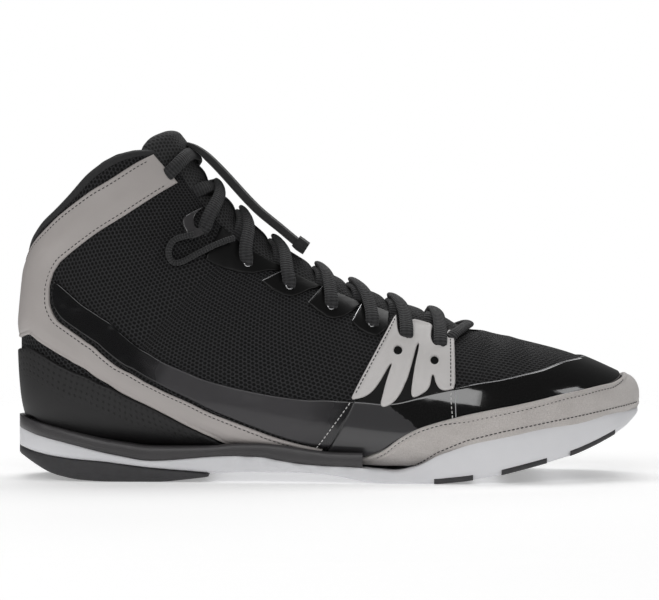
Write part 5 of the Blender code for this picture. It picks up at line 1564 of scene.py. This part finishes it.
# Columns: step towards the ankle, share of the eyelet's distance from the centre, height off the form
BAR = ((0.050, 1.00, -0.0040), (0.040, 0.92, -0.0016), (0.032, 0.83, 0.0012), (0.018, 0.62, 0.0016),
       (0.005, 0.30, 0.0014))
bar_points = ([(bar + step, -share, height) for step, share, height in BAR] + [(bar, 0.0, 0.0014)]
              + [(bar + step, share, height) for step, share, height in BAR[::-1]])
lace_body("lace_first_bar", [p[0] for p in bar_points],
          [p[1] * eyelet_width[-1 if p[1] < 0 else 1][0] for p in bar_points], [p[2] for p in bar_points],
          LACE_WIDTH * 0.8, LACE_THICKNESS, stands_for=("lace_bar",))
for start_side, word in SIDES:
    # Columns: station, distance from the centre, height off the form
    route = []
    side = start_side
    for row in range(len(EYELETS) - 1):
        near, _, ridge_step, dip_step = EYELETS[row]
        far, ridge, dip = EYELETS[row + 1][0], near + ridge_step, near + dip_step
        hump = STRAND_HUMP if side < 0 else 0.0
        wide_near, wide_far = eyelet_width[side][row], eyelet_width[-side][row + 1]
        over_edge = float(throat_half(near)) + 0.0020
        under_edge = float(throat_half(dip)) - 0.0012
        route += [(near - 0.002, side * (wide_near + 0.0002), -0.0034),
                  (near, side * (wide_near - 0.0004), 0.0014),
                  (near + 0.20 * (ridge - near), side * (0.25 * wide_near + 0.75 * over_edge), 0.0030),
                  (near + 0.62 * (ridge - near), side * 0.62 * over_edge, STRAND_LIFT + 0.70 * hump + 0.0010),
                  (ridge, side * 0.12 * over_edge, STRAND_LIFT + hump),
                  (ridge + 0.10 * (dip - ridge), -side * 0.32 * under_edge, STRAND_LIFT + 0.85 * hump),
                  (dip + 0.30 * (ridge - dip), -side * 0.78 * under_edge, 0.0012),
                  (dip, -side * under_edge, -0.0012),
                  (dip + 0.006, -side * (0.6 * under_edge + 0.4 * wide_far), -0.0048),
                  (far - 0.006, -side * (0.1 * under_edge + 0.9 * wide_far), -0.0056)]
        side = -side
    top, wide_top = EYELETS[-1][0], eyelet_width[side][-1]
    if side < 0:
        # The last turn comes up through the band's slot and over the ridge, to stop under the inner edge
        over_edge = float(throat_half(top)) + 0.0010
        route += [(top - 0.002, side * (wide_top + 0.0004), -0.0034), (top, side * wide_top, 0.0022),
                  (top + 0.002, side * over_edge, 0.0044), (top + 0.002, side * 0.5 * over_edge, 0.0036),
                  (top - 0.002, 0.0, 0.0034), (top - 0.006, -side * 0.5 * over_edge, 0.0030),
                  (top - 0.008, -side * (over_edge - 0.004), -0.0012),
                  (top - 0.008, -side * over_edge, -0.0048)]
    else:
        route.append((top - 0.004, side * wide_top, -0.0048))
    stations, outs, heights = np.array(route).T
    lace_body(f"lace_{word}", stations, outs, heights, LACE_WIDTH, LACE_THICKNESS,
              stands_for=tuple(f"lace_crossing_{n}" for n in range(1, 8)) if start_side < 0 else ())

# Spare loop of the lace, lying down the outer side
# Columns: station, share up the section, share of the loop's height off the bootie
LOOP = (
    (0.867, 0.836, 2.10), (0.871, 0.817, 1.60), (0.875, 0.797, 1.15), (0.878, 0.775, 1.00),
    (0.877, 0.750, 1.00), (0.871, 0.731, 1.00), (0.861, 0.728, 1.00), (0.853, 0.744, 1.00),
    (0.848, 0.775, 1.00), (0.844, 0.808, 1.25), (0.839, 0.842, 1.85), (0.834, 0.872, 2.10),
    (0.828, 0.900, 2.15), (0.822, 0.922, 2.15))
LOOP_LIFT = 0.0018
LOOP_DIAMETER = 0.0028
knots = np.arange(len(LOOP))
way = np.linspace(0, len(LOOP) - 1, 121)
s, share, height = [curve(knots, values)(way) for values in np.array(LOOP).T]
loop_route = last_offset(s, -1, angle_at(s, share), height * LOOP_LIFT)
at = walked(loop_route)
run = unit(np.gradient(loop_route, axis=0))
wide = unit(np.cross(run, np.array([0.0, 1.0, 0.0])))
turn = np.linspace(2 * math.pi, 0, 17)
ring = loops_about(loop_route, wide, np.cross(wide, run), np.cos(turn) * LOOP_DIAMETER / 2,
                   np.sin(turn) * LOOP_DIAMETER / 2)
loop = woven_skin("lace_side_loop", ring, at, turn, stands_for=("lace_loop",))

# Lace cover
# A strap of ribbed black elastic, sewn to the top of the tongue and stretched over the lacing, with a thick
# moulded pull at its front end.
# Columns: across and down in the side view, thickness in steps of PIXEL
COVER = (
    (187.0, 144.0, 4.0), (193.0, 146.6, 5.5), (207.6, 157.4, 8.0), (228.6, 179.0, 8.6), (245.4, 197.6, 8.8),
    (259.6, 211.8, 8.8), (277.4, 226.4, 8.6), (293.0, 239.4, 8.6), (297.4, 243.0, 8.6))
PULL = ((296.0, 241.2, 13.0), (300.0, 244.6, 14.0), (306.4, 249.0, 13.4))
COVER_WIDTH = 0.022
# Power of the cosine and sine in the strap's section: 1 is an ellipse, 0 an oblong
STRAP_CORNER = 0.3
elastic = cloth("elastic", (0.012, 0.012, 0.012), 0.8, sheen=0.3)
elastic_across = node(elastic, "SeparateXYZ", n0=node(elastic, "TexCoord").outputs["Object"]).outputs[1]
elastic_rib = math_node(elastic, "SINE", math_node(elastic, "MULTIPLY", elastic_across, 2 * math.pi / 0.0011))
raise_by(elastic, elastic_rib, 0.00015)
grain(elastic, 1800, 2.0, 0.00012)
mottle(elastic, 500, 2.0, (0.007, 0.007, 0.007), (0.018, 0.018, 0.018))


def ribbon(name, table, width, finish, **words):
    """Strap along a curve of the side view, with an oblong section of rounded corners square to it."""
    across_view, down_view, thick = np.array(table, float).T
    knots = walked(np.stack([across_view, down_view], -1))
    way = np.linspace(0, knots[-1], 120)
    x = (curve(knots, across_view)(way) - VIEW_ORIGIN[0]) * PIXEL - HEEL_REST
    z = (VIEW_ORIGIN[1] - curve(knots, down_view)(way)) * PIXEL
    thick = np.interp(way, knots, thick) * PIXEL
    run = unit(np.stack([np.gradient(x), np.gradient(z)], -1))
    turn = np.linspace(0, 2 * math.pi, 41)[:-1]
    y = np.sign(np.cos(turn)) * np.abs(np.cos(turn)) ** STRAP_CORNER * width / 2
    up = np.sign(np.sin(turn)) * np.abs(np.sin(turn)) ** STRAP_CORNER
    rise = up[None] * thick[:, None] / 2
    ring = np.stack([x[:, None] - run[:, 1:] * rise, 0 * rise + y[None], z[:, None] + run[:, :1] * rise], -1)
    return put(name, ring.reshape(-1, 3), ring_faces(*ring.shape[:2])[:, ::-1], finish, **words)


ribbon("lace_cover_strap", COVER, COVER_WIDTH, elastic, stands_for=("lace_cover",), slot="elastic_black")
ribbon("lace_cover_pull", PULL, COVER_WIDTH * 1.02, elastic, slot="elastic_black")

# Bounds of everything shown, leaving out the floor and the lights
low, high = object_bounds()
